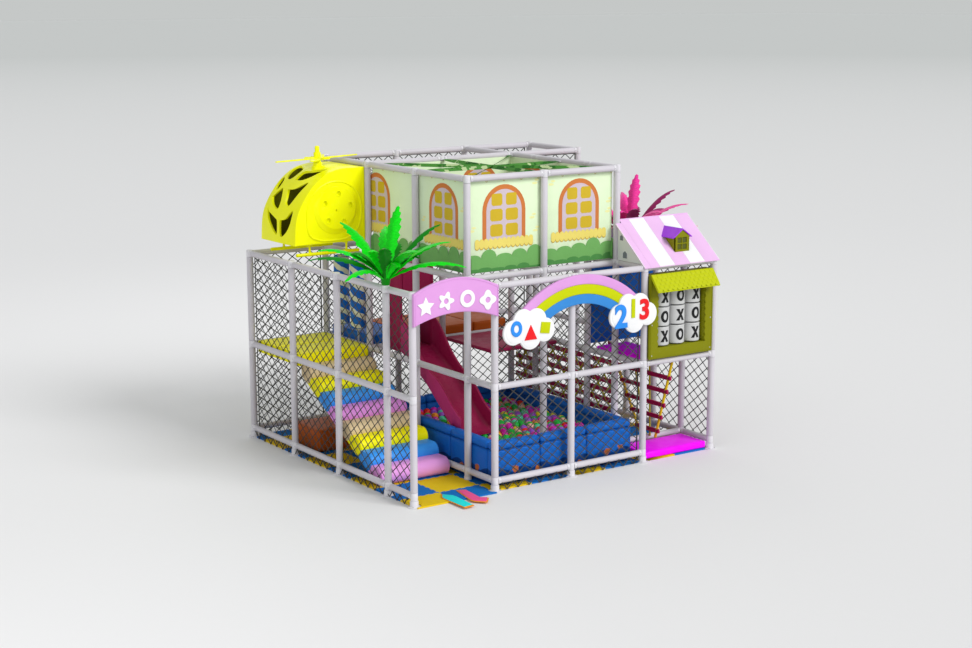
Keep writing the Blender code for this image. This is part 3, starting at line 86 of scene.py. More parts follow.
class PlaygroundSizes(bpy.types.PropertyGroup):
    """Sizes of the details that the frame leaves open."""

    sleeve: length("Sleeve radius", "Outside radius of a post's foam sleeve", 0.0455)
    rail: length("Rail radius", "Outside radius of a rail's foam sleeve", 0.0415)
    net_width: length("Net cell width", "Width of one diamond of the safety net", 0.171)
    net_height: length("Net cell height", "Height of one diamond of the safety net", 0.142)
    net_cord: length("Net cord", "Half of the width of a net cord", 0.0068)
    tile: length("Mat tile", "Side of one jigsaw tile", 0.6)
    ball: length("Ball radius", "Radius of a pit ball", 0.055)
    welt: length("Welt radius", "Radius of the piping along a pad's seams", 0.0045)
    crown: length("Pad crown", "How far the middle of a pad's face stands out", 0.007)
    leaf_teeth: IntProperty(name="Leaf teeth", description="Teeth on each side of a palm leaf", default=8,
                            min=3)
    seed: IntProperty(name="Seed", description="Seed of the ball and leaf placement", default=7, min=0)


class PlaygroundColours(bpy.types.PropertyGroup):
    """Colours of the foam, cords and boards."""

    sleeve: colour("Sleeve", "Foam sleeves of the tubes", (0.61, 0.58, 0.625))
    cord: colour("Net cord", "Safety nets", (0.068, 0.068, 0.064))
    blue: colour("Blue", "Pit wall, corridor and panel", (0.010, 0.138, 0.56))
    sky: colour("Sky blue", "Blue steps", (0.045, 0.31, 0.86))
    yellow: colour("Yellow", "Yellow foam", (1.0, 0.92, 0.0))
    beige: colour("Beige", "Beige foam", (0.72, 0.56, 0.34))
    mauve: colour("Mauve", "Mauve foam", (0.80, 0.30, 0.80))
    pink: colour("Pink", "Pale pink foam", (0.84, 0.36, 0.80))
    orange: colour("Orange", "Orange foam", (0.50, 0.10, 0.012))
    crimson: colour("Crimson", "Slide and middle deck", (0.34, 0.012, 0.075))
    magenta: colour("Magenta", "Magenta pads", (0.97, 0.0, 1.0))
    maroon: colour("Maroon", "Planks and rungs", (0.34, 0.006, 0.06))
    lemon: colour("Lemon", "Helicopter", (0.96, 0.97, 0.0))
    olive: colour("Olive", "Game frame and dormer", (0.215, 0.218, 0.002))
    shingle: colour("Shingle", "Awning", (0.49, 0.535, 0.002))
    lilac: colour("Lilac", "Boards and roof stripes", (0.69, 0.325, 0.69))
    white: colour("White", "White print and clouds", (0.86, 0.86, 0.87))
    green: colour("Green", "Green palm", (0.0, 0.74, 0.005))
    rose: colour("Rose", "Pink palm", (1.0, 0.045, 0.39))


def sizes():
    """The scene's sizes."""
    return bpy.context.scene.playground_sizes


def shade(name):
    """One of the scene's colours as four values."""
    return (*getattr(bpy.context.scene.playground_colours, name), 1.0)


# Materials. A node is made in the tree that its first linked socket belongs to
def wired(kind, settings, inputs):
    """A node with its settings and its inputs set, or linked where the value is a socket."""
    sockets = [value for value in inputs.values() if isinstance(value, bpy.types.NodeSocket)]
    tree = sockets[0].id_data
    node = tree.nodes.new(kind)
    for key, value in settings.items():
        setattr(node, key, value)
    for key, value in inputs.items():
        if value in sockets:
            tree.links.new(value, node.inputs[key])
        else:
            node.inputs[key].default_value = value
    return node


def calc(operation, first, second=0.0):
    """Result socket of a Math node."""
    return wired("ShaderNodeMath", {"operation": operation}, {0: first, 1: second}).outputs[0]


def times(first, second):
    """Product of two values."""
    return calc("MULTIPLY", first, second)


def plus(first, second):
    """Sum of two values."""
    return calc("ADD", first, second)


def minus(first, second):
    """Difference of two values."""
    return calc("SUBTRACT", first, second)


def sine(value):
    """Sine of a value."""
    return calc("SINE", value)


def split(place):
    """The x, y and z sockets of a position."""
    return list(wired("ShaderNodeSeparateXYZ", {}, {0: place}).outputs)


def blend_colour(share, first, second):
    """Result socket of a colour mix."""
    return wired("ShaderNodeMix", {"data_type": "RGBA"}, {"Factor": share, 6: first, 7: second}).outputs[2]


def grain(place, scale, detail=2.0, roughness=0.5):
    """Value socket of a noise."""
    inputs = {"Vector": place, "Scale": scale, "Detail": detail, "Roughness": roughness}
    return wired("ShaderNodeTexNoise", {}, inputs).outputs["Fac"]


def ramp(value, low, high, to_low=0.0, to_high=1.0):
    """Value socket moved from one range to another and held inside it."""
    inputs = {"Value": value, "From Min": low, "From Max": high, "To Min": to_low, "To Max": to_high}
    return wired("ShaderNodeMapRange", {"clamp": True}, inputs).outputs["Result"]


def moved_place(place, offset=(0.0, 0.0, 0.0), scale=(1.0, 1.0, 1.0)):
    """Position socket shifted and scaled."""
    inputs = {"Vector": place, "Location": offset, "Scale": scale}
    return wired("ShaderNodeMapping", {}, inputs).outputs["Vector"]


def woven(pitch):
    """Relief of a plain weave with the given thread pitch."""
    def height(place):
        x, y, z = split(place)
        across = sine(times(plus(x, y), math.tau / pitch))
        up = sine(times(minus(z, y), math.tau / pitch))
        return times(times(across, up), 0.35)
    return height


def twisted(pitch):
    """Relief of a laid rope, its strands slanting along the rope."""
    def height(place):
        x, y, z = split(place)
        along = plus(plus(x, y), times(z, 1.7))
        return times(sine(times(along, math.tau / pitch)), 0.6)
    return height


def dimples(place):
    """Relief of crossed ribs on a foam tile."""
    x, y, _ = split(place)
    first = sine(times(plus(x, y), 480.0))
    second = sine(times(minus(x, y), 480.0))
    return times(calc("MAXIMUM", first, second), 0.7)


# Each finish: a colour of the sidebar or three values, and how it differs from plain vinyl
FOAM_WELT = {"roughness": 0.5, "mottle": 0.4, "height": woven(0.002)}
BOARD_PRINT = {"roughness": 0.4, "creases": 0.1}
RAISED_FORM = {"roughness": 0.35, "creases": 0.05}
HOUSE_PRINT = {"roughness": 0.5, "relief": 0.2, "creases": 0.5, "mottle": 0.12}
MAT_FOAM = {"roughness": 0.78, "relief": 0.5, "height": dimples}
ROPE = {"roughness": 0.75, "relief": 0.4, "height": twisted(0.016)}
FINISHES = {
    "sleeve_skin": ("sleeve", {"roughness": 0.40, "creases": 0.30, "mottle": 0.12}),
    "clamp_white": ((0.70, 0.68, 0.72), {"roughness": 0.30, "relief": 0.05, "creases": 0.05, "coat": 0.3}),
    "screw_steel": ((0.45, 0.45, 0.47), {"roughness": 0.35, "relief": 0.05, "creases": 0.05}),
    "net_cord_braid": ("cord", {"roughness": 0.82, "relief": 0.4, "height": twisted(0.009), "scuffs": 0.2}),
    "mat_yellow": ((0.80, 0.55, 0.01), MAT_FOAM),
    "mat_blue": ((0.008, 0.16, 0.52), MAT_FOAM),
    "arrow_cyan_foam": ((0.02, 0.72, 0.72), {"roughness": 0.6, "relief": 0.3}),
    "arrow_pink_foam": ((0.86, 0.10, 0.30), {"roughness": 0.6, "relief": 0.3}),
    "arrow_edge_orange": ((0.85, 0.30, 0.02), {"roughness": 0.6}),
    "slide_bed": ("crimson", {"roughness": 0.30, "creases": 0.08, "coat": 0.25, "scuffs": 0.05}),
    # Outer faces of the slide's walls: a lighter, pinker copy of the crimson, painted light; the bed keeps
    # the plain crimson
    "slide_side": ((0.50, 0.035, 0.17), {"roughness": 0.36, "creases": 0.1, "scuffs": 0.05}),
    "hood_crimson": ("crimson", {"roughness": 0.38, "creases": 0.4}),
    "board_lilac": ("lilac", BOARD_PRINT),
    "band_lime": ((0.54, 0.60, 0.0), BOARD_PRINT),
    "band_blue": ((0.041, 0.24, 0.62), BOARD_PRINT),
    "form_white": ("white", RAISED_FORM),
    "form_blue": ((0.03, 0.26, 0.80), RAISED_FORM),
    "form_red": ((0.80, 0.015, 0.02), RAISED_FORM),
    "panel_cream": ((0.74, 0.88, 0.60), HOUSE_PRINT),
    "arch_orange": ((0.60, 0.19, 0.05), HOUSE_PRINT),
    "surround_lilac": ((0.60, 0.50, 0.56), HOUSE_PRINT),
    "pane_ochre": ((0.60, 0.42, 0.025), HOUSE_PRINT),
    "box_straw": ((0.82, 0.68, 0.16), HOUSE_PRINT),
    "box_shadow": ((0.60, 0.40, 0.06), HOUSE_PRINT),
    "bush_light": ((0.17, 0.42, 0.12), HOUSE_PRINT),
    "bush_dark": ((0.08, 0.27, 0.07), HOUSE_PRINT),
    "brick_pale": ((0.82, 0.82, 0.38), HOUSE_PRINT),
    "eyelet_brass": ((0.60, 0.48, 0.20), {"roughness": 0.35}),
    "roof_lilac": ((0.80, 0.50, 0.80), {"creases": 0.3}),
    "roof_white": ("white", {"creases": 0.3}),
    "gable_white": ((0.78, 0.80, 0.78), {"roughness": 0.5}),
    "pane_grey": ((0.20, 0.22, 0.25), {}),
    "dormer_purple": ((0.36, 0.05, 0.72), {"roughness": 0.45, "creases": 0.2}),
    "pane_shadow": ((0.10, 0.11, 0.02), {"roughness": 0.3}),
    "awning_shingle": ("shingle", {"roughness": 0.45, "creases": 0.3}),
    "game_olive": ("olive", {"roughness": 0.45, "creases": 0.2}),
    # Drum grey: the white drums darkened to a mid grey, painted shade of the awning over them and their
    # recess
    "drum_white": ((0.56, 0.56, 0.56), {"roughness": 0.32, "relief": 0.06, "creases": 0.05, "coat": 0.2}),
    "mark_black": ((0.015, 0.015, 0.016), {"roughness": 0.4, "relief": 0.1}),
    "heli_lemon": ("lemon", {"roughness": 0.34, "relief": 0.06, "creases": 0.06, "mottle": 0.08,
                             "coat": 0.08}),
    # Inside of the cabin: a dark olive, painted shade on the lemon shell's inner faces
    "heli_inside": ((0.16, 0.16, 0.0), {"roughness": 0.6}),
    "plank_maroon": ("maroon", {"roughness": 0.38, "creases": 0.15, "coat": 0.15}),
    "rope_yellow": ((0.80, 0.56, 0.015), ROPE),
    # Olive rope: a darker copy of the yellow rope, painted shade on the ladder's inner ropes, also used for
    # the plank net's ropes
    "rope_olive": ((0.42, 0.38, 0.02), ROPE),
    "cap_black": ((0.02, 0.02, 0.022), {"roughness": 0.4}),
}
MADE = {}


def mixed(base, share, lift=0.0):
    """A colour times a share, raised by a lift."""
    return (*(lift + share * value for value in base[:3]), 1.0)


def finish(name, base, roughness=0.42, mottle=0.10, relief=0.16, creases=0.25, pattern=None, height=None,
           coat=0.0, scuffs=0.22):
    """A surface with broad colour variation, scuffs, creases and a fine grain.

    The base is a sidebar colour's name or its values. pattern(place) gives a colour socket in
    place of the base colour, and height(place) gives a relief that is added to the grain.
    """
    if name in MADE:
        return MADE[name]
    base = shade(base) if isinstance(base, str) else mixed(base, 1.0)
    material = MADE[name] = bpy.data.materials.new(name)
    material.use_nodes = True
    tree = material.node_tree
    shader = tree.nodes["Principled BSDF"]
    place = tree.nodes.new("ShaderNodeTexCoord").outputs["Object"]
    ground = pattern(place) if pattern else base
    clouds = ramp(grain(place, 3.1, 4.0), 0.35, 0.68, 0.0, mottle)
    dark = blend_colour(clouds, ground, mixed(base, 0.55))
    marks = ramp(grain(place, 23.0, 8.0, 0.62), 0.57, 0.72)
    faded = blend_colour(times(marks, 0.22 * scuffs), dark, mixed(base, 0.65, 0.35))
    patches = ramp(grain(place, 9.0, 5.0), 0.3, 0.75, roughness - 0.07, roughness + 0.09)
    dull = plus(patches, times(marks, 0.22))
    skin = grain(place, 420.0, 2.0)
    folds = grain(place, 14.0, 3.0)
    total = plus(times(skin, relief), times(folds, creases * 4.0))
    if height:
        total = plus(total, height(place))
    bump = wired("ShaderNodeBump", {}, {"Height": total, "Strength": 0.55, "Distance": 0.0022})
    tree.links.new(faded, shader.inputs["Base Color"])
    tree.links.new(dull, shader.inputs["Roughness"])
    tree.links.new(bump.outputs["Normal"], shader.inputs["Normal"])
    shader.inputs["Coat Weight"].default_value = coat
    shader.inputs["Coat Roughness"].default_value = 0.2
    shader.inputs["Specular IOR Level"].default_value = 0.12
    material.diffuse_color = base
    return material


def named_finish(name):
    """A finish of the table, or the foam or welt cloth of a sidebar colour."""
    kind, _, tint = name.partition("_")
    if name in FINISHES:
        base, options = FINISHES[name]
        return finish(name, base, **options)
    if kind == "welt":
        return finish(name, tint, **FOAM_WELT)
    return finish(name, tint, roughness=0.38, creases=0.4)


# Mesh makers
def block(lo, hi, rounding=0.0, segments=2):
    """A box between two corners, its edges rounded."""
    lo = Vector(lo)
    hi = Vector(hi)
    part = bmesh.new()
    place = Matrix.Translation((lo + hi) / 2) @ Matrix.Diagonal((*(hi - lo), 1.0))
    bmesh.ops.create_cube(part, size=1.0, matrix=place)
    if rounding:
        bmesh.ops.bevel(part, geom=part.edges[:], offset=rounding, segments=segments, profile=0.5,
                        affect="EDGES", material=-1)
    return part


def pad(lo, hi, rounding=0.02, crown=None, cells=5, rests=True):
    """A firm foam pad: faces crowned between rounded edges, flat underneath where it rests."""
    lo = Vector(lo)
    hi = Vector(hi)
    swell = sizes().crown if crown is None else crown
    swell = min(swell, min(hi - lo) / 6)
    inset = Vector((swell, swell, swell))
    rounding = min(rounding, min(hi - lo) / 2 - swell - 0.001)
    foot = Vector((swell, swell, 0.0)) if rests else inset
    part = block(lo + foot, hi - inset, rounding, 3)
    wide = [edge for edge in part.edges if edge.calc_length() > 2.6 * rounding]
    bmesh.ops.subdivide_edges(part, edges=wide, cuts=cells, use_grid_fill=True)
    middle = (lo + hi) / 2
    half = (hi - lo) / 2
    for vert in part.verts:
        share = [(vert.co[axis] - middle[axis]) / (half[axis] - swell) for axis in range(3)]
        push = Vector((0.0, 0.0, 0.0))
        for axis in range(3):
            if abs(share[axis]) > 0.99 and not (rests and axis == 2 and share[axis] < 0):
                others = [1.0 - min(abs(share[other]), 1.0) ** 3 for other in range(3) if other != axis]
                push[axis] = math.copysign(swell * others[0] * others[1], share[axis])
        vert.co += push
    return part


def tube(start, end, radius, sides=20, rounding=0.0, segments=2):
    """A capped round bar between two points."""
    start = Vector(start)
    end = Vector(end)
    run = end - start
    part = bmesh.new()
    place = Matrix.Translation((start + end) / 2) @ run.to_track_quat("Z", "Y").to_matrix().to_4x4()
    bmesh.ops.create_cone(part, cap_ends=True, segments=sides, radius1=radius, radius2=radius,
                          depth=run.length, matrix=place)
    if rounding:
        rims = [edge for edge in part.edges if any(len(face.verts) > 4 for face in edge.link_faces)]
        bmesh.ops.bevel(part, geom=rims, offset=rounding, segments=segments, profile=0.5, affect="EDGES",
                        material=-1)
    return part


def turned(profile, centre=(0.0, 0.0, 0.0), steps=32, closed=False):
    """A form turned about an upright axis from (radius, height) points."""
    part = bmesh.new()
    verts = [part.verts.new((radius, 0.0, height)) for radius, height in profile]
    pairs = list(zip(verts, verts[1:])) + ([(verts[-1], verts[0])] if closed else [])
    edges = [part.edges.new(pair) for pair in pairs]
    bmesh.ops.spin(part, geom=verts + edges, cent=(0.0, 0.0, 0.0), axis=(0.0, 0.0, 1.0), angle=math.tau,
                   steps=steps, use_merge=True, use_duplicate=False)
    bmesh.ops.remove_doubles(part, verts=part.verts, dist=WELD)
    bmesh.ops.recalc_face_normals(part, faces=part.faces)
    bmesh.ops.translate(part, vec=centre, verts=part.verts)
    return part


def curve_mesh(curve):
    """The mesh of a curve as a bmesh, its doubles merged and its faces pointing out."""
    obj = bpy.data.objects.new("outline", curve)
    mesh = bpy.data.meshes.new_from_object(obj)
    part = bmesh.new()
    part.from_mesh(mesh)
    bpy.data.meshes.remove(mesh)
    bpy.data.objects.remove(obj)
    bpy.data.curves.remove(curve)
    bmesh.ops.remove_doubles(part, verts=part.verts, dist=WELD)
    bmesh.ops.recalc_face_normals(part, faces=part.faces)
    return part


def board(outline, thickness, centre=0.0, axis="Z", holes=(), rounding=0.0, segments=2):
    """A flat form cut from an outline, its rim rounded, standing across one axis.

    Outline points are y, z across X; x, z across Y; x, y across Z.
    """
    curve = bpy.data.curves.new("outline", "CURVE")
    curve.dimensions = "2D"
    curve.fill_mode = "BOTH"
    curve.extrude = thickness / 2 - rounding
    curve.bevel_depth = rounding
    curve.bevel_resolution = segments - 1
    curve.offset = -rounding
    for ring in [outline, *holes]:
        spline = curve.splines.new("POLY")
        spline.points.add(len(ring) - 1)
        spline.use_cyclic_u = True
        for point, (first, second) in zip(spline.points, ring):
            point.co = (first, second, 0.0, 1.0)
    part = curve_mesh(curve)
    turns = {
        "X": Matrix(((0, 0, 1, centre), (1, 0, 0, 0), (0, 1, 0, 0), (0, 0, 0, 1))),
        "Y": Matrix(((1, 0, 0, 0), (0, 0, -1, centre), (0, 1, 0, 0), (0, 0, 0, 1))),
        "Z": Matrix.Translation((0.0, 0.0, centre)),
    }
    bmesh.ops.transform(part, matrix=turns[axis], verts=part.verts)
    bmesh.ops.recalc_face_normals(part, faces=part.faces)
    return part


def strand(points, radius, sides=8, closed=False):
    """A round cord along a path."""
    curve = bpy.data.curves.new("path", "CURVE")
    curve.dimensions = "3D"
    curve.bevel_depth = radius
    curve.bevel_resolution = max(0, sides // 2 - 2)
    curve.use_fill_caps = True
    spline = curve.splines.new("POLY")
    spline.points.add(len(points) - 1)
    spline.use_cyclic_u = closed
    for point, place in zip(spline.points, points):
        point.co = (*place, 1.0)
    return curve_mesh(curve)


def lofted(rings):
    """A skin through rings of points: a grid moved on to the rings, welded and capped."""
    columns = len(rings[0])
    part = bmesh.new()
    bmesh.ops.create_grid(part, x_segments=columns, y_segments=len(rings) - 1, size=1.0)
    part.verts.ensure_lookup_table()
    for row, ring in enumerate(rings):
        for column in range(columns + 1):
            part.verts[row * (columns + 1) + column].co = ring[column % columns]
    bmesh.ops.remove_doubles(part, verts=part.verts, dist=WELD)
    bmesh.ops.holes_fill(part, edges=[edge for edge in part.edges if edge.is_boundary], sides=0)
    bmesh.ops.recalc_face_normals(part, faces=part.faces)
    return part


def placing(place, degrees=0.0, axis="Z"):
    """Matrix that turns a form about one axis and then moves it to its place."""
    return Matrix.Translation(place) @ Matrix.Rotation(math.radians(degrees), 4, axis)


def carried(part, matrix):
    """A form moved by a matrix."""
    bmesh.ops.transform(part, matrix=matrix, verts=part.verts)
    return part


def joined(piece, part, index=0):
    """Add one form to a piece under one material index; None keeps the form's own."""
    if index is not None:
        for face in part.faces:
            face.material_index = index
    mesh = bpy.data.meshes.new("part")
    part.to_mesh(mesh)
    part.free()
    piece.from_mesh(mesh)
    bpy.data.meshes.remove(mesh)


def scattered(piece, part, places, index=0):
    """Add a copy of a small form at each of many places."""
    for face in part.faces:
        face.material_index = index
    mesh = bpy.data.meshes.new("part")
    part.to_mesh(mesh)
    part.free()
    for place in places:
        copy = mesh.copy()
        copy.transform(place)
        piece.from_mesh(copy)
        bpy.data.meshes.remove(copy)
    bpy.data.meshes.remove(mesh)


def cut_away(part, tools):
    """Take forms away from a form."""
    objects = []
    for source in (part, *tools):
        mesh = bpy.data.meshes.new("cut")
        source.to_mesh(mesh)
        source.free()
        objects.append(bpy.data.objects.new("cut", mesh))
        bpy.context.scene.collection.objects.link(objects[-1])
    body = objects[0]
    for tool in objects[1:]:
        change = body.modifiers.new("cut", "BOOLEAN")
        change.operation = "DIFFERENCE"
        change.solver = "EXACT"
        change.object = tool
    bpy.context.view_layer.update()
    result = bpy.data.meshes.new_from_object(body.evaluated_get(bpy.context.evaluated_depsgraph_get()))
    left = bmesh.new()
    left.from_mesh(result)
    bpy.data.meshes.remove(result)
    for obj in objects:
        mesh = obj.data
        bpy.data.objects.remove(obj)
        bpy.data.meshes.remove(mesh)
    bmesh.ops.remove_doubles(left, verts=left.verts, dist=WELD)
    return left


def add_piece(name, part, finishes, replaces, body=BODY, sharp=38):
    """Keep a form as one named piece with its finishes, riding on a body."""
    mesh = bpy.data.meshes.new(name)
    part.to_mesh(mesh)
    part.free()
    for item in finishes:
        mesh.materials.append(named_finish(item) if isinstance(item, str) else item)
    mesh.shade_smooth()
    mesh.set_sharp_from_angle(angle=math.radians(sharp))
    obj = bpy.data.objects.new(name, mesh)
    bpy.context.scene.collection.objects.link(obj)
    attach(obj, body)
    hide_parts(*replaces)


def ring_path(lo, hi, height, corner=0.02, steps=4):
    """A level rounded rectangle of points."""
    points = []
    for (x, y), start in zip(((hi[0], hi[1]), (lo[0], hi[1]), (lo[0], lo[1]), (hi[0], lo[1])),
                             (0, 90, 180, 270)):
        cx = x - math.copysign(corner, x - (lo[0] + hi[0]) / 2)
        cy = y - math.copysign(corner, y - (lo[1] + hi[1]) / 2)
        for step in range(steps + 1):
            angle = math.radians(start + 90 * step / steps)
            points.append((cx + corner * math.cos(angle), cy + corner * math.sin(angle), height))
    return points


def arc(centre, radius, start, end, segments):
    """Points on a flat arc, angles in degrees."""
    turns = [math.radians(start + (end - start) * step / segments) for step in range(segments + 1)]
    return [(centre[0] + radius * math.cos(turn), centre[1] + radius * math.sin(turn)) for turn in turns]


def oval(centre, width, height, segments=24):
    """Points round an ellipse."""
    turns = [math.tau * step / segments for step in range(segments)]
    return [(centre[0] + width / 2 * math.cos(turn), centre[1] + height / 2 * math.sin(turn))
            for turn in turns]


def smooth_line(points, steps):
    """Points of a flowing line through given flat points."""
    line = []
    ends = [points[0], *points, points[-1]]
    for index in range(len(points) - 1):
        before, first, second, after = (Vector(ends[index + step]) for step in range(4))
        for step in range(steps):
            share = step / steps
            line.append(0.5 * (2 * first + (second - before) * share
                               + (2 * before - 5 * first + 4 * second - after) * share ** 2
                               + (3 * first - before - 3 * second + after) * share ** 3))
    line.append(Vector(points[-1]))
    return line


# Frame of tubes
RAILS = {
    "frame_front": [("x", 0.0, 2, 0, 4), ("x", 0.0, 1, 1, 4), ("x", 0.0, 0, 1, 3)],
    "frame_left": [("y", 0.0, level, 0, 4) for level in (0, 1, 2)],
    "frame_mid_left": [("y", 1.2, 0, 0, 2), ("y", 1.2, 1, 0, 4), ("y", 1.2, 2, 0, 4), ("y", 1.2, 3, 1, 4)],
    "frame_mid_right": [("y", 3.6, 1, 0, 4), ("y", 3.6, 2, 0, 4), ("y", 3.6, 3, 1, 4)],
    "frame_right": [("x", 0.6, 0, 3, 4), ("x", 1.2, 2, 3, 4), ("x", 3.0, 3, 3, 4), ("y", 4.8, 0, 0, 4),
                    ("y", 4.8, 1, 0, 4), ("y", 4.8, 2, 0, 4), ("y", 4.8, 3, 3, 4)],
    "frame_back": [("x", 4.2, level, 0, 4) for level in (0, 1, 2)] + [("x", 4.2, 3, 1, 4)],
    "frame_house": [("x", 0.6, 2, 1, 3), ("x", 0.6, 3, 1, 3), ("x", 3.0, 1, 1, 3), ("x", 3.0, 2, 1, 3),
                    ("x", 3.0, 3, 1, 3), ("y", 2.4, 2, 1, 3)],
}
# Posts as x, y, top level, whether it stands on the floor, whether the roof covers it
POSTS = {
    "frame_front": [(x, 0.0, 2, True, x > 3.0) for x in COLUMNS],
    "frame_left": [(0.0, y, 2, True, False) for y in ROWS[1:]],
    "frame_mid_left": [(1.2, y, 3, False, False) for y in ROWS[1:4]],
    "frame_mid_right": [(3.6, 0.6, 3, False, False), (3.6, 1.2, 2, False, True), (3.6, 2.4, 2, False, False),
                        (3.6, 3.0, 3, False, False)],
    "frame_right": [(4.8, 0.6, 2, True, False), (4.8, 1.2, 2, True, True), (4.8, 1.8, 2, True, False),
                    (4.8, 3.0, 3, True, False), (4.8, 4.2, 3, True, False)],
    "frame_back": [(x, 4.2, 3, True, False) for x in COLUMNS[1:4]],
    "frame_house": [(2.4, 0.6, 3, False, False), (2.4, 3.0, 3, False, False)],
}
# Half height of a clamp, gap between sleeves, post tops over the last rail, and a rail's start
BAND = 0.05
SEAM = 0.0015
POST_TOP = 0.046
ROOFED_TOP = 0.02
RAIL_START = 0.0795
TOUCH = 0.01
FLANGE_TOP = 0.082
FLANGE = [(0.0, 0.0), (0.085, 0.0), (0.085, 0.009), (0.081, 0.012), (0.058, 0.014), (0.0535, 0.022),
          (0.0535, 0.072), (0.051, 0.08), (0.047, FLANGE_TOP), (0.0, FLANGE_TOP)]
COLLAR = [(0.044, MAT_TOP), (0.0515, MAT_TOP), (0.0515, 0.05), (0.049, 0.055), (0.044, 0.055)]


def rail_ends(rail):
    """Axis index, start and end of a rail."""
    axis, across, level, first, last = rail
    height = LEVELS[level]
    if axis == "x":
        return 0, Vector((COLUMNS[first], across, height)), Vector((COLUMNS[last], across, height))
    return 1, Vector((across, ROWS[first], height)), Vector((across, ROWS[last], height))


def near(first, second):
    """Whether two numbers are the same place."""
    return abs(first - second) < TOUCH


def meets(along, start, end, post):
    """Whether a rail runs to or past a post."""
    beside = near(post[1 - along], start[1 - along])
    return beside and start[along] - TOUCH < post[along] < end[along] + TOUCH


def met_levels(post):
    """Levels at which a rail reaches a post, with the directions of the rails there."""
    met = {}
    for rail in (rail for rails in RAILS.values() for rail in rails):
        along, start, end = rail_ends(rail)
        if meets(along, start, end, post):
            ways = met.setdefault(rail[2], [])
            for sign, limit in ((-1, start[along]), (1, end[along])):
                if not near(post[along], limit):
                    way = Vector((0.0, 0.0, 0.0))
                    way[along] = sign
                    ways.append(way)
    return met


def build_post(wall, x, y, top_level, on_floor, roofed):
    """Foot, sleeves between the levels, and a clamp with screws at each level."""
    sleeve = sizes().sleeve
    top = LEVELS[top_level] + (ROOFED_TOP if roofed else POST_TOP)
    if on_floor:
        joined(wall, turned(FLANGE, (x, y, 0.0), 32), 1)
        screws = [Matrix.Translation((x + px, y + py, 0.0155))
                  for px, py in arc((0.0, 0.0), 0.07, 45, 315, 3)]
        scattered(wall, tube((0.0, 0.0, -0.003), (0.0, 0.0, 0.004), 0.008, 6, 0.001, segments=1), screws, 2)
    else:
        joined(wall, turned(COLLAR, (x, y, 0.0), 24, closed=True), 1)
    met = met_levels((x, y))
    z = FLANGE_TOP if on_floor else MAT_TOP
    for level in sorted(met):
        height = LEVELS[level]
        if height - BAND - z > 0.03:
            joined(wall, tube((x, y, z), (x, y, height - BAND - SEAM), sleeve, 20, 0.006), 0)
        end = min(height + BAND, top)
        joined(wall, tube((x, y, max(height - BAND, z)), (x, y, end), sleeve + 0.0006, 20, 0.004), 1)
        for way in met[level]:
            collar = Vector((x, y, height)) + way * 0.04
            joined(wall, tube(collar, collar + way * 0.038, 0.0432, 20, 0.003, segments=1), 1)
            side = Vector((0.0, -1.0, 0.0)) if abs(way.x) > 0.5 else Vector((-1.0, 0.0, 0.0))
            seat = collar + way * 0.022
            joined(wall, tube(seat + side * 0.04, seat + side * 0.0452, 0.0065, 6), 2)
        z = height + BAND + SEAM
    if top - z > 0.03:
        joined(wall, tube((x, y, z), (x, y, top), sleeve, 20, 0.006), 0)
    cap = [(0.0, top - 0.004), (0.038, top - 0.004), (0.036, top - 0.001), (0.02, top - 0.0002), (0.0, top)]
    joined(wall, turned(cap, (x, y, 0.0), 20), 1)


def build_rail(wall, rail):
    """Sleeves of a rail from post to post."""
    along, start, end = rail_ends(rail)
    stops = {start[along], end[along]}
    for post in (post for posts in POSTS.values() for post in posts):
        if post[2] >= rail[2] and meets(along, start, end, post):
            stops.add(post[along])
    stops = sorted(stops)
    unit = (end - start).normalized()
    for first, second in zip(stops, stops[1:]):
        if not near(first, second):
            a = start + unit * (first - start[along] + RAIL_START)
            b = start + unit * (second - start[along] - RAIL_START)
            joined(wall, tube(a, b, sizes().rail, 20, 0.005), 0)


def build_rods(wall):
    """Rods and lower bearings that carry the two rollers."""
    for roller in ("roller_1", "roller_2"):
        lo, hi = corners(roller)
        x, y = (lo.x + hi.x) / 2, (lo.y + hi.y) / 2
        joined(wall, tube((x, y, LEVELS[1]), (x, y, LEVELS[2]), 0.0148, 16), 2)
        joined(wall, tube((x, y, lo.z - MAT_TOP), (x, y, lo.z - 0.0006), 0.034, 24, 0.003), 1)


class FrameOperator(bpy.types.Operator):
    """Foam sleeves, clamps and feet of the seven frame walls"""

    bl_idname = "playground.frame"
    bl_label = "Tube frame"

    def execute(self, context):
        for name in POSTS:
            wall = bmesh.new()
            for post in POSTS[name]:
                build_post(wall, *post)
            for rail in RAILS[name]:
                build_rail(wall, rail)
            if name == "frame_mid_left":
                build_rods(wall)
            add_piece(f"{name}_sleeves", wall, ["sleeve_skin", "clamp_white", "screw_steel"], [name])
        return {"FINISHED"}


# Nets: name, axis they stand across, and height of the foot where it isn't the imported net's own
NET_FOOT = 0.034
NETS = (("net_left", 0, NET_FOOT), ("net_front", 1, NET_FOOT), ("net_right", 0, NET_FOOT),
        ("net_back", 1, NET_FOOT), ("net_crown_front", 1, None))
HEM_START = 0.105
HEM_OUT = 0.036
POST_SIDE = 0.056


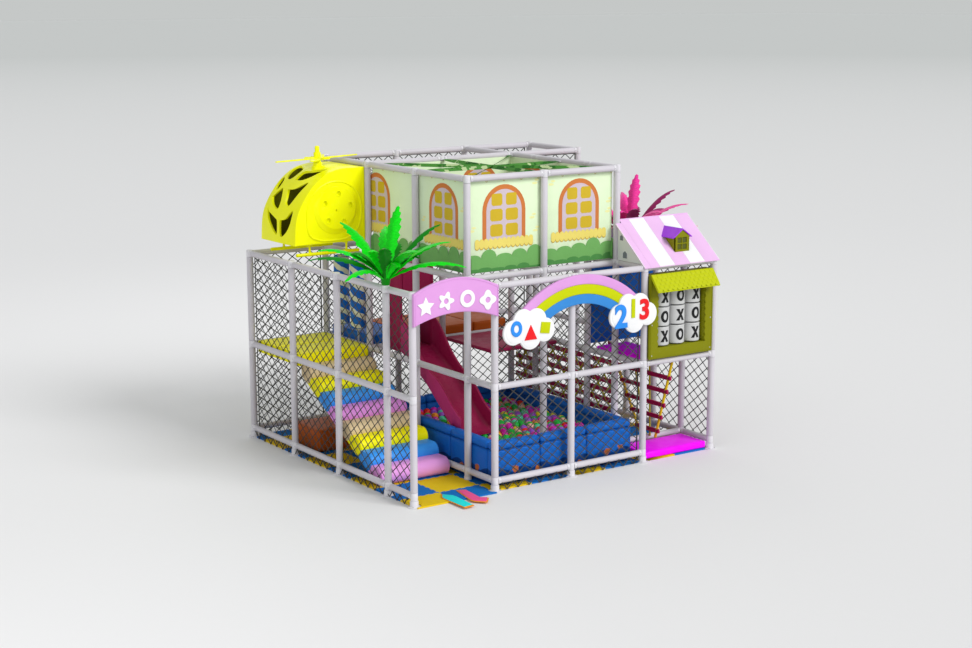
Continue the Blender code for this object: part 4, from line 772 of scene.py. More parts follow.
def netting(piece, lo, hi, place):
    """Diamond netting with knots and a selvedge cord, in a plane given by place(across, up)."""
    radius = sizes().net_cord
    columns = max(2, round((hi[0] - lo[0]) / sizes().net_width))
    rows = max(2, round((hi[1] - lo[1]) / sizes().net_height))
    half_w = (hi[0] - lo[0]) / columns / 2
    half_h = (hi[1] - lo[1]) / rows / 2
    right, top = 2 * columns, 2 * rows

    def at(u, v):
        return Vector(place(lo[0] + u * half_w, lo[1] + v * half_h))

    for step in range(1 - rows, columns):
        u, v = max(0, 2 * step), max(0, -2 * step)
        run = min(right - u, top - v)
        joined(piece, tube(at(u, v), at(u + run, v + run), radius, 5))
    for step in range(1, columns + rows):
        u, v = max(0, 2 * step - top), min(top, 2 * step)
        run = min(right - u, v)
        joined(piece, tube(at(u, v), at(u + run, v - run), radius, 5))
    knot = bmesh.new()
    bmesh.ops.create_icosphere(knot, subdivisions=1, radius=radius * 1.75)
    spots = [Matrix.Translation(at(u, v))
             for u in range(right + 1) for v in range(top + 1) if (u + v) % 2 == 0]
    scattered(piece, knot, spots)
    for first, last in (((0, 0), (0, top)), ((right, 0), (right, top)), ((0, top), (right, top))):
        joined(piece, tube(at(*first), at(*last), radius * 1.4, 6))


def hem(piece, start, end, out):
    """Row of open half diamonds that hang from a net's foot past the mat's edge to the floor."""
    start, end, out = Vector(start), Vector(end), Vector(out)
    count = max(2, round((end - start).length / sizes().net_width))
    drop = out + Vector((0.0, 0.0, 0.007 - start.z))
    for step in range(count):
        first = start.lerp(end, step / count)
        last = start.lerp(end, (step + 1) / count)
        tip = (first + last) / 2 + drop
        joined(piece, tube(first, tip, sizes().net_cord, 5))
        joined(piece, tube(tip, last, sizes().net_cord, 5))


def build_net(name, axis, foot):
    """Netting over the whole of one packed net, kept as thin as the net."""
    lo, hi = corners(name)
    middle = (lo[axis] + hi[axis]) / 2
    low = lo.z if foot is None else foot
    piece = bmesh.new()
    if axis == 0:
        netting(piece, (lo.y, low), (hi.y, hi.z), lambda a, b: (middle, a, b))
    else:
        netting(piece, (lo.x, low), (hi.x, hi.z), lambda a, b: (a, middle, b))
    if name == "net_back":
        top = corners("net_left")[1].z
        netting(piece, (COLUMNS[0] + POST_SIDE, low), (COLUMNS[1] - POST_SIDE, top),
                lambda a, b: (a, middle, b))
    flat = Vector((1.0, 1.0, 1.0))
    flat[axis] = 0.62
    shift = Vector((0.0, 0.0, 0.0))
    shift[axis] = middle
    bmesh.ops.scale(piece, vec=flat, space=Matrix.Translation(-shift), verts=piece.verts)
    if name == "net_left":
        hem(piece, (-HEM_OUT, lo.y + 0.04, HEM_START), (-HEM_OUT, hi.y - 0.04, HEM_START), (0.010, 0.0, 0.0))
    elif name == "net_front":
        hem(piece, (lo.x + 0.03, -HEM_OUT, HEM_START), (hi.x - 0.03, -HEM_OUT, HEM_START), (0.0, 0.010, 0.0))
    add_piece(f"{name}_cords", piece, ["net_cord_braid"], [name])


class NetOperator(bpy.types.Operator):
    """Diamond safety nets of five walls"""

    bl_idname = "playground.nets"
    bl_label = "Safety nets"

    def execute(self, context):
        for net in NETS:
            build_net(*net)
        return {"FINISHED"}


# Floor
ARROWS = (
    ("arrow_in", "arrow_cyan", [(0.444, 0.077), (0.524, 0.206), (0.617, 0.085), (0.625, 0.004),
                                (0.592, -0.43), (0.444, -0.45), (0.442, -0.07)]),
    ("arrow_out", "arrow_pink", [(0.772, 0.239), (0.883, 0.199), (0.84, -0.204), (0.925, -0.264),
                                 (0.8, -0.414), (0.697, -0.305), (0.673, -0.233)]),
)


def jigsaw_side(start, end, toothed, pitch=0.12, depth=0.016):
    """One side of a tile, its teeth to the left of its way."""
    start, end = Vector(start), Vector(end)
    run = end - start
    teeth = max(1, round(run.length / pitch)) if toothed and run.length > pitch * 0.6 else 0
    side = Vector((-run.y, run.x)).normalized() * depth
    points = [start]
    for tooth in range(teeth):
        base = start.lerp(end, tooth / teeth)
        points += [base + run / teeth * share + side * out
                   for share, out in ((0.33, 0), (0.25, 1), (0.75, 1), (0.67, 0))]
    return points


def tile_outline(x0, x1, y0, y1, edges):
    """A jigsaw tile; edges tell which of left, right, lower and upper sides meet another tile."""
    left, right, lower, upper = edges
    points = jigsaw_side((x0, y0), (x1, y0), lower)
    points += jigsaw_side((x1, y0), (x1, y1), right)
    points += [(x1, y1)] + jigsaw_side((x0, y1), (x1, y1), upper)[:0:-1]
    points += [(x0, y1)] + jigsaw_side((x0, y0), (x0, y1), left)[:0:-1]
    return [tuple(point) for point in points]


def build_mat():
    """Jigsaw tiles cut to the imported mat, with round holes for the posts' flanges."""
    lo, hi = corners("floor_mat")
    side = sizes().tile
    xs = [lo.x] + [-HEM_OUT + side * step for step in range(1, 8)] + [hi.x]
    ys = [-0.012] + [-0.3 + side * step for step in range(1, 8)] + [hi.y]
    mat = bmesh.new()
    for i in range(len(xs) - 1):
        for j in range(len(ys) - 1):
            front = lo.y if j == 0 and i < 2 else ys[j]
            edges = (i > 0, i < len(xs) - 2, j > 0, j < len(ys) - 2)
            outline = tile_outline(xs[i], xs[i + 1], front, ys[j + 1], edges)
            joined(mat, board(outline, hi.z, hi.z / 2, rounding=0.0016, segments=1), (i + j) % 2)
    feet = bmesh.new()
    standing = [post for posts in POSTS.values() for post in posts if post[3]]
    places = [Matrix.Translation((post[0], post[1], 0.0)) for post in standing]
    scattered(feet, tube((0.0, 0.0, -0.05), (0.0, 0.0, 0.05), 0.0885, 32), places, 0)
    mat = cut_away(mat, [feet])
    add_piece("floor_mat_tiles", mat, ["mat_yellow", "mat_blue"], ["floor_mat"], sharp=30)


def build_arrow(name, slot, outline):
    """A bent arrow: a wider orange layer under a coloured one."""
    base = corners(name)[0].z
    layer = 0.009
    middle = Vector((sum(x for x, _ in outline), sum(y for _, y in outline))) / len(outline)
    inner = [tuple(middle + (Vector(point) - middle) * 0.9) for point in outline]
    arrow = bmesh.new()
    joined(arrow, board(outline, layer, base + 0.0045, rounding=0.002), 1)
    joined(arrow, board(inner, layer, base + 0.0105, rounding=0.003), 0)
    add_piece(f"{name}_slab", arrow, [f"{slot}_foam", "arrow_edge_orange"], [name])


class FloorOperator(bpy.types.Operator):
    """Jigsaw mat and its two arrows"""

    bl_idname = "playground.floor"
    bl_label = "Floor mat"

    def execute(self, context):
        build_mat()
        for arrow in ARROWS:
            build_arrow(*arrow)
        return {"FINISHED"}


# Stairs and decks
STEP_COUNT = 8
NOSE_R = 0.115
STEP_RUN = 0.2556
STEP_RISE = 0.1425
STEP_FRONT = 0.893
STEP_COLOURS = ["pink", "sky", "yellow", "beige", "mauve", "sky", "yellow", "beige"]


def step_outline(index, segments=16):
    """Side outline of a bull-nosed step, its back hollowed for the next nose."""
    nose = Vector((STEP_FRONT + NOSE_R + index * STEP_RUN, MAT_TOP + NOSE_R + index * STEP_RISE))
    front = arc(nose, NOSE_R, 90, 270, segments)
    tread = nose.y + NOSE_R
    if index == STEP_COUNT - 1:
        end = STEP_FRONT + STEP_COUNT * STEP_RUN - HAIR
        return front + [(end, nose.y - NOSE_R + STEP_RISE / STEP_RUN * (end - nose.x)), (end, tread)]
    upper = nose + Vector((STEP_RUN, STEP_RISE))
    hollow = []
    for point in arc(upper, NOSE_R + 0.0012, 261, 90, segments):
        if point[1] >= tread:
            last = hollow[-1]
            share = (tread - last[1]) / (point[1] - last[1])
            hollow.append((last[0] + share * (point[0] - last[0]), tread))
            break
        hollow.append(point)
    return front + hollow


def build_step(index):
    """One bull-nosed step with piping round its nose and a seam across its tread."""
    name, tint = f"step_{index + 1}", STEP_COLOURS[index]
    lo, hi = corners(name)
    outline = step_outline(index)
    step = bmesh.new()
    joined(step, board(outline, hi.x - lo.x - 0.002, (lo.x + hi.x) / 2, "X", rounding=0.011, segments=3), 0)
    for x in (lo.x + 0.013, hi.x - 0.013):
        joined(step, strand([(x, y, z) for y, z in outline[1:17]], sizes().welt, 8), 1)
    seam = [(x, outline[0][0] + 0.03, hi.z - 0.0012) for x in (lo.x + 0.014, hi.x - 0.014)]
    joined(step, strand(seam, 0.0022, 6), 1)
    add_piece(f"{name}_foam", step, [f"foam_{tint}", f"welt_{tint}"], [name])


class StairOperator(bpy.types.Operator):
    """Eight foam steps, the landing and the block under it"""

    bl_idname = "playground.stairs"
    bl_label = "Foam stairs"

    def execute(self, context):
        for index in range(STEP_COUNT):
            build_step(index)
        build_pad("deck_left", "yellow", (1, 2))
        build_pad("foam_block", "orange", rounding=0.05)
        return {"FINISHED"}


def build_pad(node, tint, splits=(1, 1), rounding=0.022, rests=True, other=None):
    """Foam pads side by side over one packed pad, each with piping round its upper and lower rims."""
    lo, hi = corners(node)
    size = hi - lo
    piece = bmesh.new()
    welt = min(sizes().welt, size.z / 12)
    swell = min(sizes().crown, min(size.x / splits[0], size.y / splits[1], size.z) / 6)
    inset = swell + min(rounding, size.z / 2 - swell) * 0.28
    for i in range(splits[0]):
        for j in range(splits[1]):
            a = Vector((lo.x + size.x * i / splits[0], lo.y + size.y * j / splits[1], lo.z))
            b = Vector((lo.x + size.x * (i + 1) / splits[0], lo.y + size.y * (j + 1) / splits[1], hi.z))
            second = 2 if other and i else 0
            joined(piece, pad(a, b, rounding, rests=rests), second)
            for height in (b.z - inset, a.z + inset):
                path = ring_path((a.x + inset, a.y + inset), (b.x - inset, b.y - inset), height, rounding)
                joined(piece, strand(path, welt, 8, closed=True), second + 1)
    tints = (tint, other) if other else (tint,)
    covers = [f"{cloth}_{name}" for name in tints for cloth in ("foam", "welt")]
    add_piece(f"{node}_pad", piece, covers, [node])


class DeckOperator(bpy.types.Operator):
    """Pads of the corridor, the middle deck, the right bay and its back panel"""

    bl_idname = "playground.decks"
    bl_label = "Pads and panel"

    def execute(self, context):
        build_pad("corridor_pad", "blue", (4, 1), other="orange")
        build_pad("deck_mid", "crimson")
        build_pad("floor_pad_magenta", "magenta")
        build_pad("deck_pad_magenta", "magenta")
        build_pad("blue_panel", "blue", rests=False)
        return {"FINISHED"}


def build_roller(name):
    """A padded roller with spiral stripes and piping round both ends."""
    lo, hi = corners(name)
    centre = ((lo.x + hi.x) / 2, (lo.y + hi.y) / 2, 0.0)
    radius = (hi.x - lo.x) / 2
    bore = 0.0162

    def spiral(place):
        local = moved_place(place, (-centre[0], -centre[1], 0.0))
        x, y, z = split(local)
        turn = calc("DIVIDE", calc("ARCTAN2", y, x), math.pi)
        wave = times(grain(local, 9.0, 1.0), 0.35)
        along = plus(times(z, 5.2), wave)
        share = calc("FRACT", plus(turn, plus(along, 8.0)))
        starts, ends = ramp(share, 0.60, 0.62), ramp(share, 0.97, 0.99, 1.0, 0.0)
        return blend_colour(times(starts, ends), shade("blue"), (0.74, 0.74, 0.56, 1.0))

    ends = [(bore, 0.012), (radius * 0.55, 0.003), (radius - 0.03, 0.004), (radius - 0.01, 0.014),
            (radius - 0.002, 0.036), (radius, 0.12)]
    profile = [(reach, hi.z - down) for reach, down in ends] + [(radius, (lo.z + hi.z) / 2)]
    profile += [(reach, lo.z + up) for reach, up in ends[::-1]]
    piece = bmesh.new()
    joined(piece, turned(profile, centre, 40, closed=True), 0)
    for height in (lo.z + 0.02, hi.z - 0.02):
        rim = [(centre[0] + x, centre[1] + y, height) for x, y in arc((0.0, 0.0), radius - 0.007, 0, 350, 35)]
        joined(piece, strand(rim, sizes().welt, 6, closed=True), 1)
    skin = finish(f"{name}_stripes", "blue", roughness=0.4, pattern=spiral)
    add_piece(f"{name}_padding", piece, [skin, "welt_blue"], [name], body=f"{name}_body")


class RollerOperator(bpy.types.Operator):
    """Two padded rollers with spiral stripes"""

    bl_idname = "playground.rollers"
    bl_label = "Rollers"

    def execute(self, context):
        build_roller("roller_1")
        build_roller("roller_2")
        return {"FINISHED"}


# Slide: outlines of its underside and of its side walls' edges as y, z, and top of the hood's door
HOOD_DOOR = 2.16
SLIDE_UNDER = [(2.5, 1.33), (1.973, 1.06), (1.743, 0.904), (1.538, 0.746), (1.374, 0.616), (1.2, 0.492),
               (1.04, 0.434)]
SLIDE_EDGE = [(2.5, 1.8), (2.38, 1.735), (2.26, 1.63), (2.06, 1.4), (1.823, 1.21), (1.66, 1.13),
              (1.496, 1.03), (1.292, 0.845), (1.16, 0.75), (1.04, 0.68)]


def height_on(line, y):
    """Height of a flowing line at a distance along Y."""
    for first, second in zip(line, line[1:]):
        if min(first.x, second.x) - 1e-6 <= y <= max(first.x, second.x) + 1e-6:
            share = (y - first.x) / (second.x - first.x) if first.x != second.x else 0.0
            return first.y + share * (second.y - first.y)
    return line[-1].y


def build_trough():
    """Slide trough with rolled edges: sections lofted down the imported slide's length."""
    lo, hi = corners("slide")
    under = smooth_line(SLIDE_UNDER, 10)
    edge = smooth_line(SLIDE_EDGE, 8)
    wall, bed, lip, steps = 0.035, 0.045, 0.014, 60
    x0 = lo.x + HAIR
    rings = []
    for step in range(steps + 1):
        y = hi.y + (lo.y - hi.y) * step / steps
        z0, z1 = height_on(under, y) + 0.002, height_on(edge, y) - 0.002
        floor = z0 + bed
        half = [(x0 + 0.012, z0), (x0, z0 + 0.012), (x0, z1 - lip), (x0 + 0.005, z1 - 0.004),
                (x0 + wall / 2, z1), (x0 + wall - 0.005, z1 - 0.004), (x0 + wall, z1 - lip),
                (x0 + wall, floor + 0.05), (x0 + wall + 0.014, floor + 0.014), (x0 + wall + 0.05, floor)]
        other = [(lo.x + hi.x - x, z) for x, z in half[::-1]]
        rings.append([(x, y, z) for x, z in half + other])
    trough = bmesh.new()
    joined(trough, lofted(rings), 0)
    trough.normal_update()
    # Faces of the side walls that look outwards take the lighter crimson, painted light
    for face in trough.faces:
        inside = lo.x + wall * 0.4 < face.calc_center_median().x < hi.x - wall * 0.4
        face.material_index = 0 if inside or abs(face.normal.x) < 0.5 else 1
    add_piece("slide_trough", trough, ["slide_bed", "slide_side"], ["slide"], sharp=50)


def build_hood():
    """Padded walls, header with an arched door, and roof of the hood."""
    lo, hi = corners("slide_hood")
    wall, welt = 0.04, sizes().welt
    hood = bmesh.new()
    for a, b in (((lo.x, lo.y, lo.z), (lo.x + wall, hi.y, hi.z)),
                 ((hi.x - wall, lo.y, lo.z), (hi.x, hi.y, hi.z)),
                 ((lo.x + wall - 0.004, lo.y, hi.z - wall), (hi.x - wall + 0.004, hi.y, hi.z))):
        joined(hood, pad(a, b, 0.012, 0.003, 4, rests=False), 0)
    x0, x1 = lo.x + wall + HAIR, hi.x - wall - HAIR
    shares = [2 * step / 14 - 1 for step in range(15)]
    crown = [(x0 + (x1 - x0) * step / 14, HOOD_DOOR - 0.06 * share ** 2) for step, share in enumerate(shares)]
    header = crown + [(x1, hi.z - wall), (x0, hi.z - wall)]
    joined(hood, board(header, wall - 0.004, lo.y + wall / 2, "Y", rounding=0.008), 0)
    joined(hood, block((x0, lo.y, lo.z), (x1, hi.y, lo.z + 0.045), 0.006), 0)
    for x in (lo.x + 0.006, hi.x - 0.006):
        line = [(x, lo.y + 0.006, lo.z + 0.01), (x, lo.y + 0.006, hi.z - 0.01),
                (x, hi.y - 0.006, hi.z - 0.008)]
        joined(hood, strand(line, welt, 8), 1)
    joined(hood, strand([(x, lo.y + 0.004, z) for x, z in crown], welt, 8), 1)
    add_piece("slide_hood_pads", hood, ["hood_crimson", "welt_crimson"], ["slide_hood"])


class SlideOperator(bpy.types.Operator):
    """Slide trough with rolled edges, and its hood"""

    bl_idname = "playground.slide"
    bl_label = "Slide and hood"

    def execute(self, context):
        build_trough()
        build_hood()
        return {"FINISHED"}


# Ball pit. Each ball colour has as many chances as its number stands in the mix
PIT_WALL = 0.144
PIT_CAP = 0.11
BALL_TINTS = [(0.02, 0.50, 0.06), (0.72, 0.02, 0.45), (0.80, 0.03, 0.02), (0.88, 0.30, 0.03),
              (0.86, 0.74, 0.02), (0.34, 0.10, 0.62), (0.10, 0.72, 0.42), (0.88, 0.52, 0.36)]
BALL_MIX = [0, 0, 0, 1, 1, 1, 2, 2, 3, 4, 5, 5, 6, 7]


def sea_print(place):
    """Darker waves along the foot with scattered orange shell spots."""
    x, y, z = split(place)
    along = plus(x, y)
    wave = calc("ABSOLUTE", sine(times(along, 9.5)))
    crest = plus(times(wave, 0.06), 0.17)
    low = ramp(minus(z, crest), -0.003, 0.003, 0.9, 0.0)
    ground = blend_colour(low, shade("blue"), (0.003, 0.035, 0.17, 1.0))
    flat = wired("ShaderNodeCombineXYZ", {}, {0: along, 1: z}).outputs[0]
    cells = wired("ShaderNodeTexVoronoi", {"voronoi_dimensions": "2D"},
                  {"Vector": flat, "Scale": 3.4, "Randomness": 0.9})
    ripple = times(grain(place, 30.0, 1.0), 0.16)
    spot = ramp(plus(cells.outputs["Distance"], ripple), 0.22, 0.25, 1.0, 0.0)
    band = times(ramp(z, 0.25, 0.26, 1.0, 0.0), spot)
    return blend_colour(band, ground, (0.52, 0.14, 0.03, 1.0))


def build_pit_wall():
    """Three wall blocks on each side, with a capped rim and piping at the cap's seam."""
    lo, hi = corners("pit_wall")
    rim = hi.z - PIT_CAP
    ring = bmesh.new()
    sides = (
        ((lo.x, lo.y), (hi.x, lo.y + PIT_WALL), 0),
        ((lo.x, hi.y - PIT_WALL), (hi.x, hi.y), 0),
        ((lo.x, lo.y + PIT_WALL), (lo.x + PIT_WALL, hi.y - PIT_WALL), 1),
        ((hi.x - PIT_WALL, lo.y + PIT_WALL), (hi.x, hi.y - PIT_WALL), 1),
    )
    for a, b, along in sides:
        for step in range(3):
            first, last = list(a), list(b)
            first[along] = a[along] + (b[along] - a[along]) * step / 3 + 0.0005
            last[along] = a[along] + (b[along] - a[along]) * (step + 1) / 3 - 0.0005
            joined(ring, pad((*first, lo.z), (*last, rim), 0.018, 0.008, 5), 0)
            joined(ring, pad((*first, rim - 0.004), (*last, hi.z), 0.036, 0.007, 5), 0)
            seam = ring_path([value + 0.011 for value in first], [value - 0.011 for value in last],
                             rim - 0.002, 0.018)
            joined(ring, strand(seam, sizes().welt, 6, closed=True), 1)
    cover = finish("pit_vinyl", "blue", roughness=0.38, creases=0.4, pattern=sea_print)
    add_piece("pit_wall_pads", ring, [cover, "welt_blue"], ["pit_wall"])


def build_balls():
    """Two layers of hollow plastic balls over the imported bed."""
    lo, hi = corners("ball_bed")
    radius = sizes().ball
    across, deep = radius * 2.03, radius * 1.76
    chance = random.Random(sizes().seed)
    post = Vector((COLUMNS[2], ROWS[1]))
    rows = int((hi.y - lo.y - 2 * radius) / deep) + 1
    columns = int((hi.x - lo.x - 2 * radius) / across) + 1
    places = [[] for _ in BALL_TINTS]
    for layer, row, column in ((layer, row, column) for layer in range(2) for row in range(rows)
                               for column in range(columns)):
        x = lo.x + radius + (column + 0.5 * ((row + layer) % 2)) * across
        y = lo.y + radius + row * deep + layer * radius * 0.6
        place = Vector((x + chance.uniform(-0.004, 0.004), y + chance.uniform(-0.004, 0.004), 0.0))
        if place.x > hi.x - radius or place.y > hi.y - radius or (place.xy - post).length < radius + 0.048:
            continue
        place.z = hi.z - layer * radius * 1.5 - radius - chance.random() ** 2 * radius * 0.75
        turn = Matrix.Rotation(chance.uniform(0.0, math.tau), 4, chance.choice(("X", "Y", "Z")))
        places[chance.choice(BALL_MIX)].append(Matrix.Translation(place) @ turn)
    bed = bmesh.new()
    for index, spots in enumerate(places):
        ball = bmesh.new()
        bmesh.ops.create_icosphere(ball, subdivisions=2, radius=radius)
        scattered(bed, ball, spots, index)
    joined(bed, block((lo.x, lo.y, lo.z), (hi.x, hi.y, hi.z - radius * 2.4)), 0)
    gloss = {"roughness": 0.30, "relief": 0.04, "creases": 0.03, "mottle": 0.05, "coat": 0.2}
    shells = [finish(f"ball_{index + 1}", tint, **gloss) for index, tint in enumerate(BALL_TINTS)]
    add_piece("pit_balls", bed, shells, ["ball_bed"], sharp=60)


class PitOperator(bpy.types.Operator):
    """Padded wall blocks of the ball pit and the loose balls"""

    bl_idname = "playground.pit"
    bl_label = "Ball pit"

    def execute(self, context):
        build_pit_wall()
        build_balls()
        return {"FINISHED"}


# Boards on the front: the sign's edges as height of the ends and rise of the middle, and its forms
SIGN_FOOT = (2.244, 0.12)
SIGN_TOP = (2.64, 0.152)
SIGN_BORDER = 0.018
RAINBOW_CENTRE = (2.484, 1.284)
RAINBOW_RADIUS = 1.362
RAINBOW_BAND = 0.126
RAINBOW_THICK = 0.045
CLOUDS = ((1.644, 2.04), (3.318, 2.064))
CLOUD_LOBES = [(-0.235, -0.02, 0.16), (-0.09, 0.115, 0.15), (0.11, 0.1, 0.155), (0.24, -0.03, 0.155),
               (0.02, -0.095, 0.165)]
FIGURES = (("2", (3.10, 2.03), 0.30, 4), ("1", (3.30, 2.12), 0.24, 1), ("3", (3.49, 2.09), 0.26, 5))


def star(centre, reach, inner, points):
    """Points of a star."""
    tips = [(inner if step % 2 else reach, math.radians(90 + 180 * step / points))
            for step in range(2 * points)]
    return [(centre[0] + out * math.cos(turn), centre[1] + out * math.sin(turn)) for out, turn in tips]


def flower(centre, reach, petals, depth=0.22, segments=40):
    """Points of a round flower."""
    turns = [math.tau * step / segments for step in range(segments)]
    tips = [(reach * (1 - depth + depth * math.cos(petals * turn)), turn) for turn in turns]
    return [(centre[0] + out * math.cos(turn), centre[1] + out * math.sin(turn)) for out, turn in tips]


def lobed(centre, lobes, segments=72):
    """Outline round a cluster of circles, seen from their middle."""
    points = []
    for step in range(segments):
        turn = math.tau * step / segments
        way = Vector((math.cos(turn), math.sin(turn)))
        reach = 0.0
        for dx, dz, radius in lobes:
            along = way.dot(Vector((dx, dz)))
            rest = radius ** 2 - (Vector((dx, dz)).length ** 2 - along ** 2)
            if rest > 0:
                reach = max(reach, along + math.sqrt(rest))
        points.append((centre[0] + reach * way.x, centre[1] + reach * way.y))
    return points


def numeral(text, centre, height, front):
    """A raised figure on a board's face."""
    thick, edge = 0.016, 0.003
    curve = bpy.data.curves.new("figure", "FONT")
    curve.body = text
    curve.size = height * 1.38
    curve.align_x = "CENTER"
    curve.align_y = "CENTER"
    curve.extrude = thick / 2 - edge
    curve.bevel_depth = edge
    curve.offset = height * 0.035
    place = Matrix(((1, 0, 0, centre[0]), (0, 0, -1, front - thick / 2), (0, 1, 0, centre[1]), (0, 0, 0, 1)))
    part = carried(curve_mesh(curve), place)
    bmesh.ops.recalc_face_normals(part, faces=part.faces)
    return part


def build_sign():
    """Arched board with a raised border and four plain raised forms."""
    lo, hi = corners("entrance_sign")
    middle = (lo.x + hi.x) / 2
    half = (hi.x - lo.x) / 2

    def bow(z, rise, inset=0.0, count=24):
        shares = [2 * step / count - 1 for step in range(count + 1)]
        return [(middle + (half - inset) * share, z + rise * (1 - share ** 2)) for share in shares]

    outline = bow(*SIGN_FOOT) + bow(*SIGN_TOP)[::-1]
    sign = bmesh.new()
    joined(sign, board(outline, hi.y - lo.y, (lo.y + hi.y) / 2, "Y", rounding=0.011, segments=3), 0)
    rim = bow(SIGN_FOOT[0] + SIGN_BORDER, SIGN_FOOT[1], 0.02)
    rim += bow(SIGN_TOP[0] - SIGN_BORDER, SIGN_TOP[1], 0.02)[::-1]
    joined(sign, strand([(x, lo.y - 0.0005, z) for x, z in rim], 0.005, 8, closed=True), 0)
    forms = (
        (star((0.13, 2.475), 0.125, 0.062, 5), []),
        (flower((0.42, 2.52), 0.118, 5), [oval((0.42, 2.52), 0.07, 0.07)[::-1]]),
        (oval((0.73, 2.52), 0.215, 0.215, 32), [oval((0.73, 2.52), 0.115, 0.115, 32)[::-1]]),
        (flower((1.03, 2.475), 0.125, 4, 0.16), [oval((1.03, 2.475), 0.075, 0.075)[::-1]]),
    )
    for form, holes in forms:
        joined(sign, board(form, 0.014, lo.y - 0.005, "Y", holes, rounding=0.003), 1)
    add_piece("entrance_sign_board", sign, ["board_lilac", "form_white"], ["entrance_sign"])


def build_rainbow():
    """Three bands, two clouds, plain forms on one and figures on the other."""
    lo, hi = corners("rainbow_board")
    rainbow = bmesh.new()
    for index in range(3):
        outer = RAINBOW_RADIUS - index * RAINBOW_BAND
        outline = arc(RAINBOW_CENTRE, outer - 0.0004, 138, 42, 40)
        outline += arc(RAINBOW_CENTRE, outer - RAINBOW_BAND + 0.0004, 42, 138, 40)
        band = board(outline, RAINBOW_THICK, hi.y - RAINBOW_THICK / 2, "Y", rounding=0.009, segments=3)
        joined(rainbow, band, index)
    inner = [(dx * 0.93, dz * 0.93, radius * 0.86) for dx, dz, radius in CLOUD_LOBES]
    for place in CLOUDS:
        cloud = board(lobed(place, CLOUD_LOBES), 0.04, lo.y + 0.021, "Y", rounding=0.013, segments=3)
        joined(rainbow, cloud, 3)
        joined(rainbow, board(lobed(place, inner), 0.008, lo.y, "Y", rounding=0.003), 3)
    forms = (
        (oval((1.435, 2.07), 0.17, 0.2, 32), 4, [oval((1.435, 2.07), 0.08, 0.1, 24)[::-1]]),
        ([(1.56, 1.91), (1.75, 1.91), (1.655, 2.10)], 5, []),
        ([(1.80, 1.98), (1.94, 1.96), (1.96, 2.10), (1.82, 2.12)], 1, []),
    )
    for form, index, holes in forms:
        joined(rainbow, board(form, 0.016, lo.y - 0.009, "Y", holes, rounding=0.004), index)
    for text, place, height, index in FIGURES:
        joined(rainbow, numeral(text, place, height, lo.y - 0.002), index)
    paints = ["board_lilac", "band_lime", "band_blue", "form_white", "form_blue", "form_red"]
    add_piece("rainbow_bands", rainbow, paints, ["rainbow_board"])


class BoardOperator(bpy.types.Operator):
    """Arched entrance sign, and the rainbow with its two clouds"""

    bl_idname = "playground.boards"
    bl_label = "Sign and rainbow"

    def execute(self, context):
        build_sign()
        build_rainbow()
        return {"FINISHED"}


# House on the crown: its finishes in the order of their indices, and how far the far left window sits aside
HOUSE_PRINTS = ["panel_cream", "arch_orange", "surround_lilac", "pane_ochre", "box_straw", "box_shadow",
                "bush_light", "bush_dark", "brick_pale", "eyelet_brass"]
OFF_MIDDLE = 0.43
HALF_BAY = 0.598
BAY_FOOT = 2.675
WINDOW_FOOT = 2.99
PANEL_THICK = 0.011
PANE_CORNERS = ((-0.8, -1), (0.8, -1), (1, -0.7), (1, 0.7), (0.8, 1), (-0.8, 1), (-1, 0.7), (-1, -0.7))


def arch_outline(half, top):
    """A window outline with a round head."""
    return [(-half, WINDOW_FOOT), (half, WINDOW_FOOT)] + arc((0.0, top - half), half, 0, 180, 16)


def trimmed(outline, edge):
    """Outline cut off where it runs past a straight edge at x = edge, on the side away from the middle."""
    side = math.copysign(1.0, edge)
    kept = []
    for (x0, z0), (x, z) in zip([outline[-1], *outline], outline):
        room, room_before = (edge - x) * side, (edge - x0) * side
        if room * room_before < 0:
            kept.append((edge, z0 + (z - z0) * room_before / (room_before - room)))
        if room >= 0:
            kept.append((x, z))
    return kept


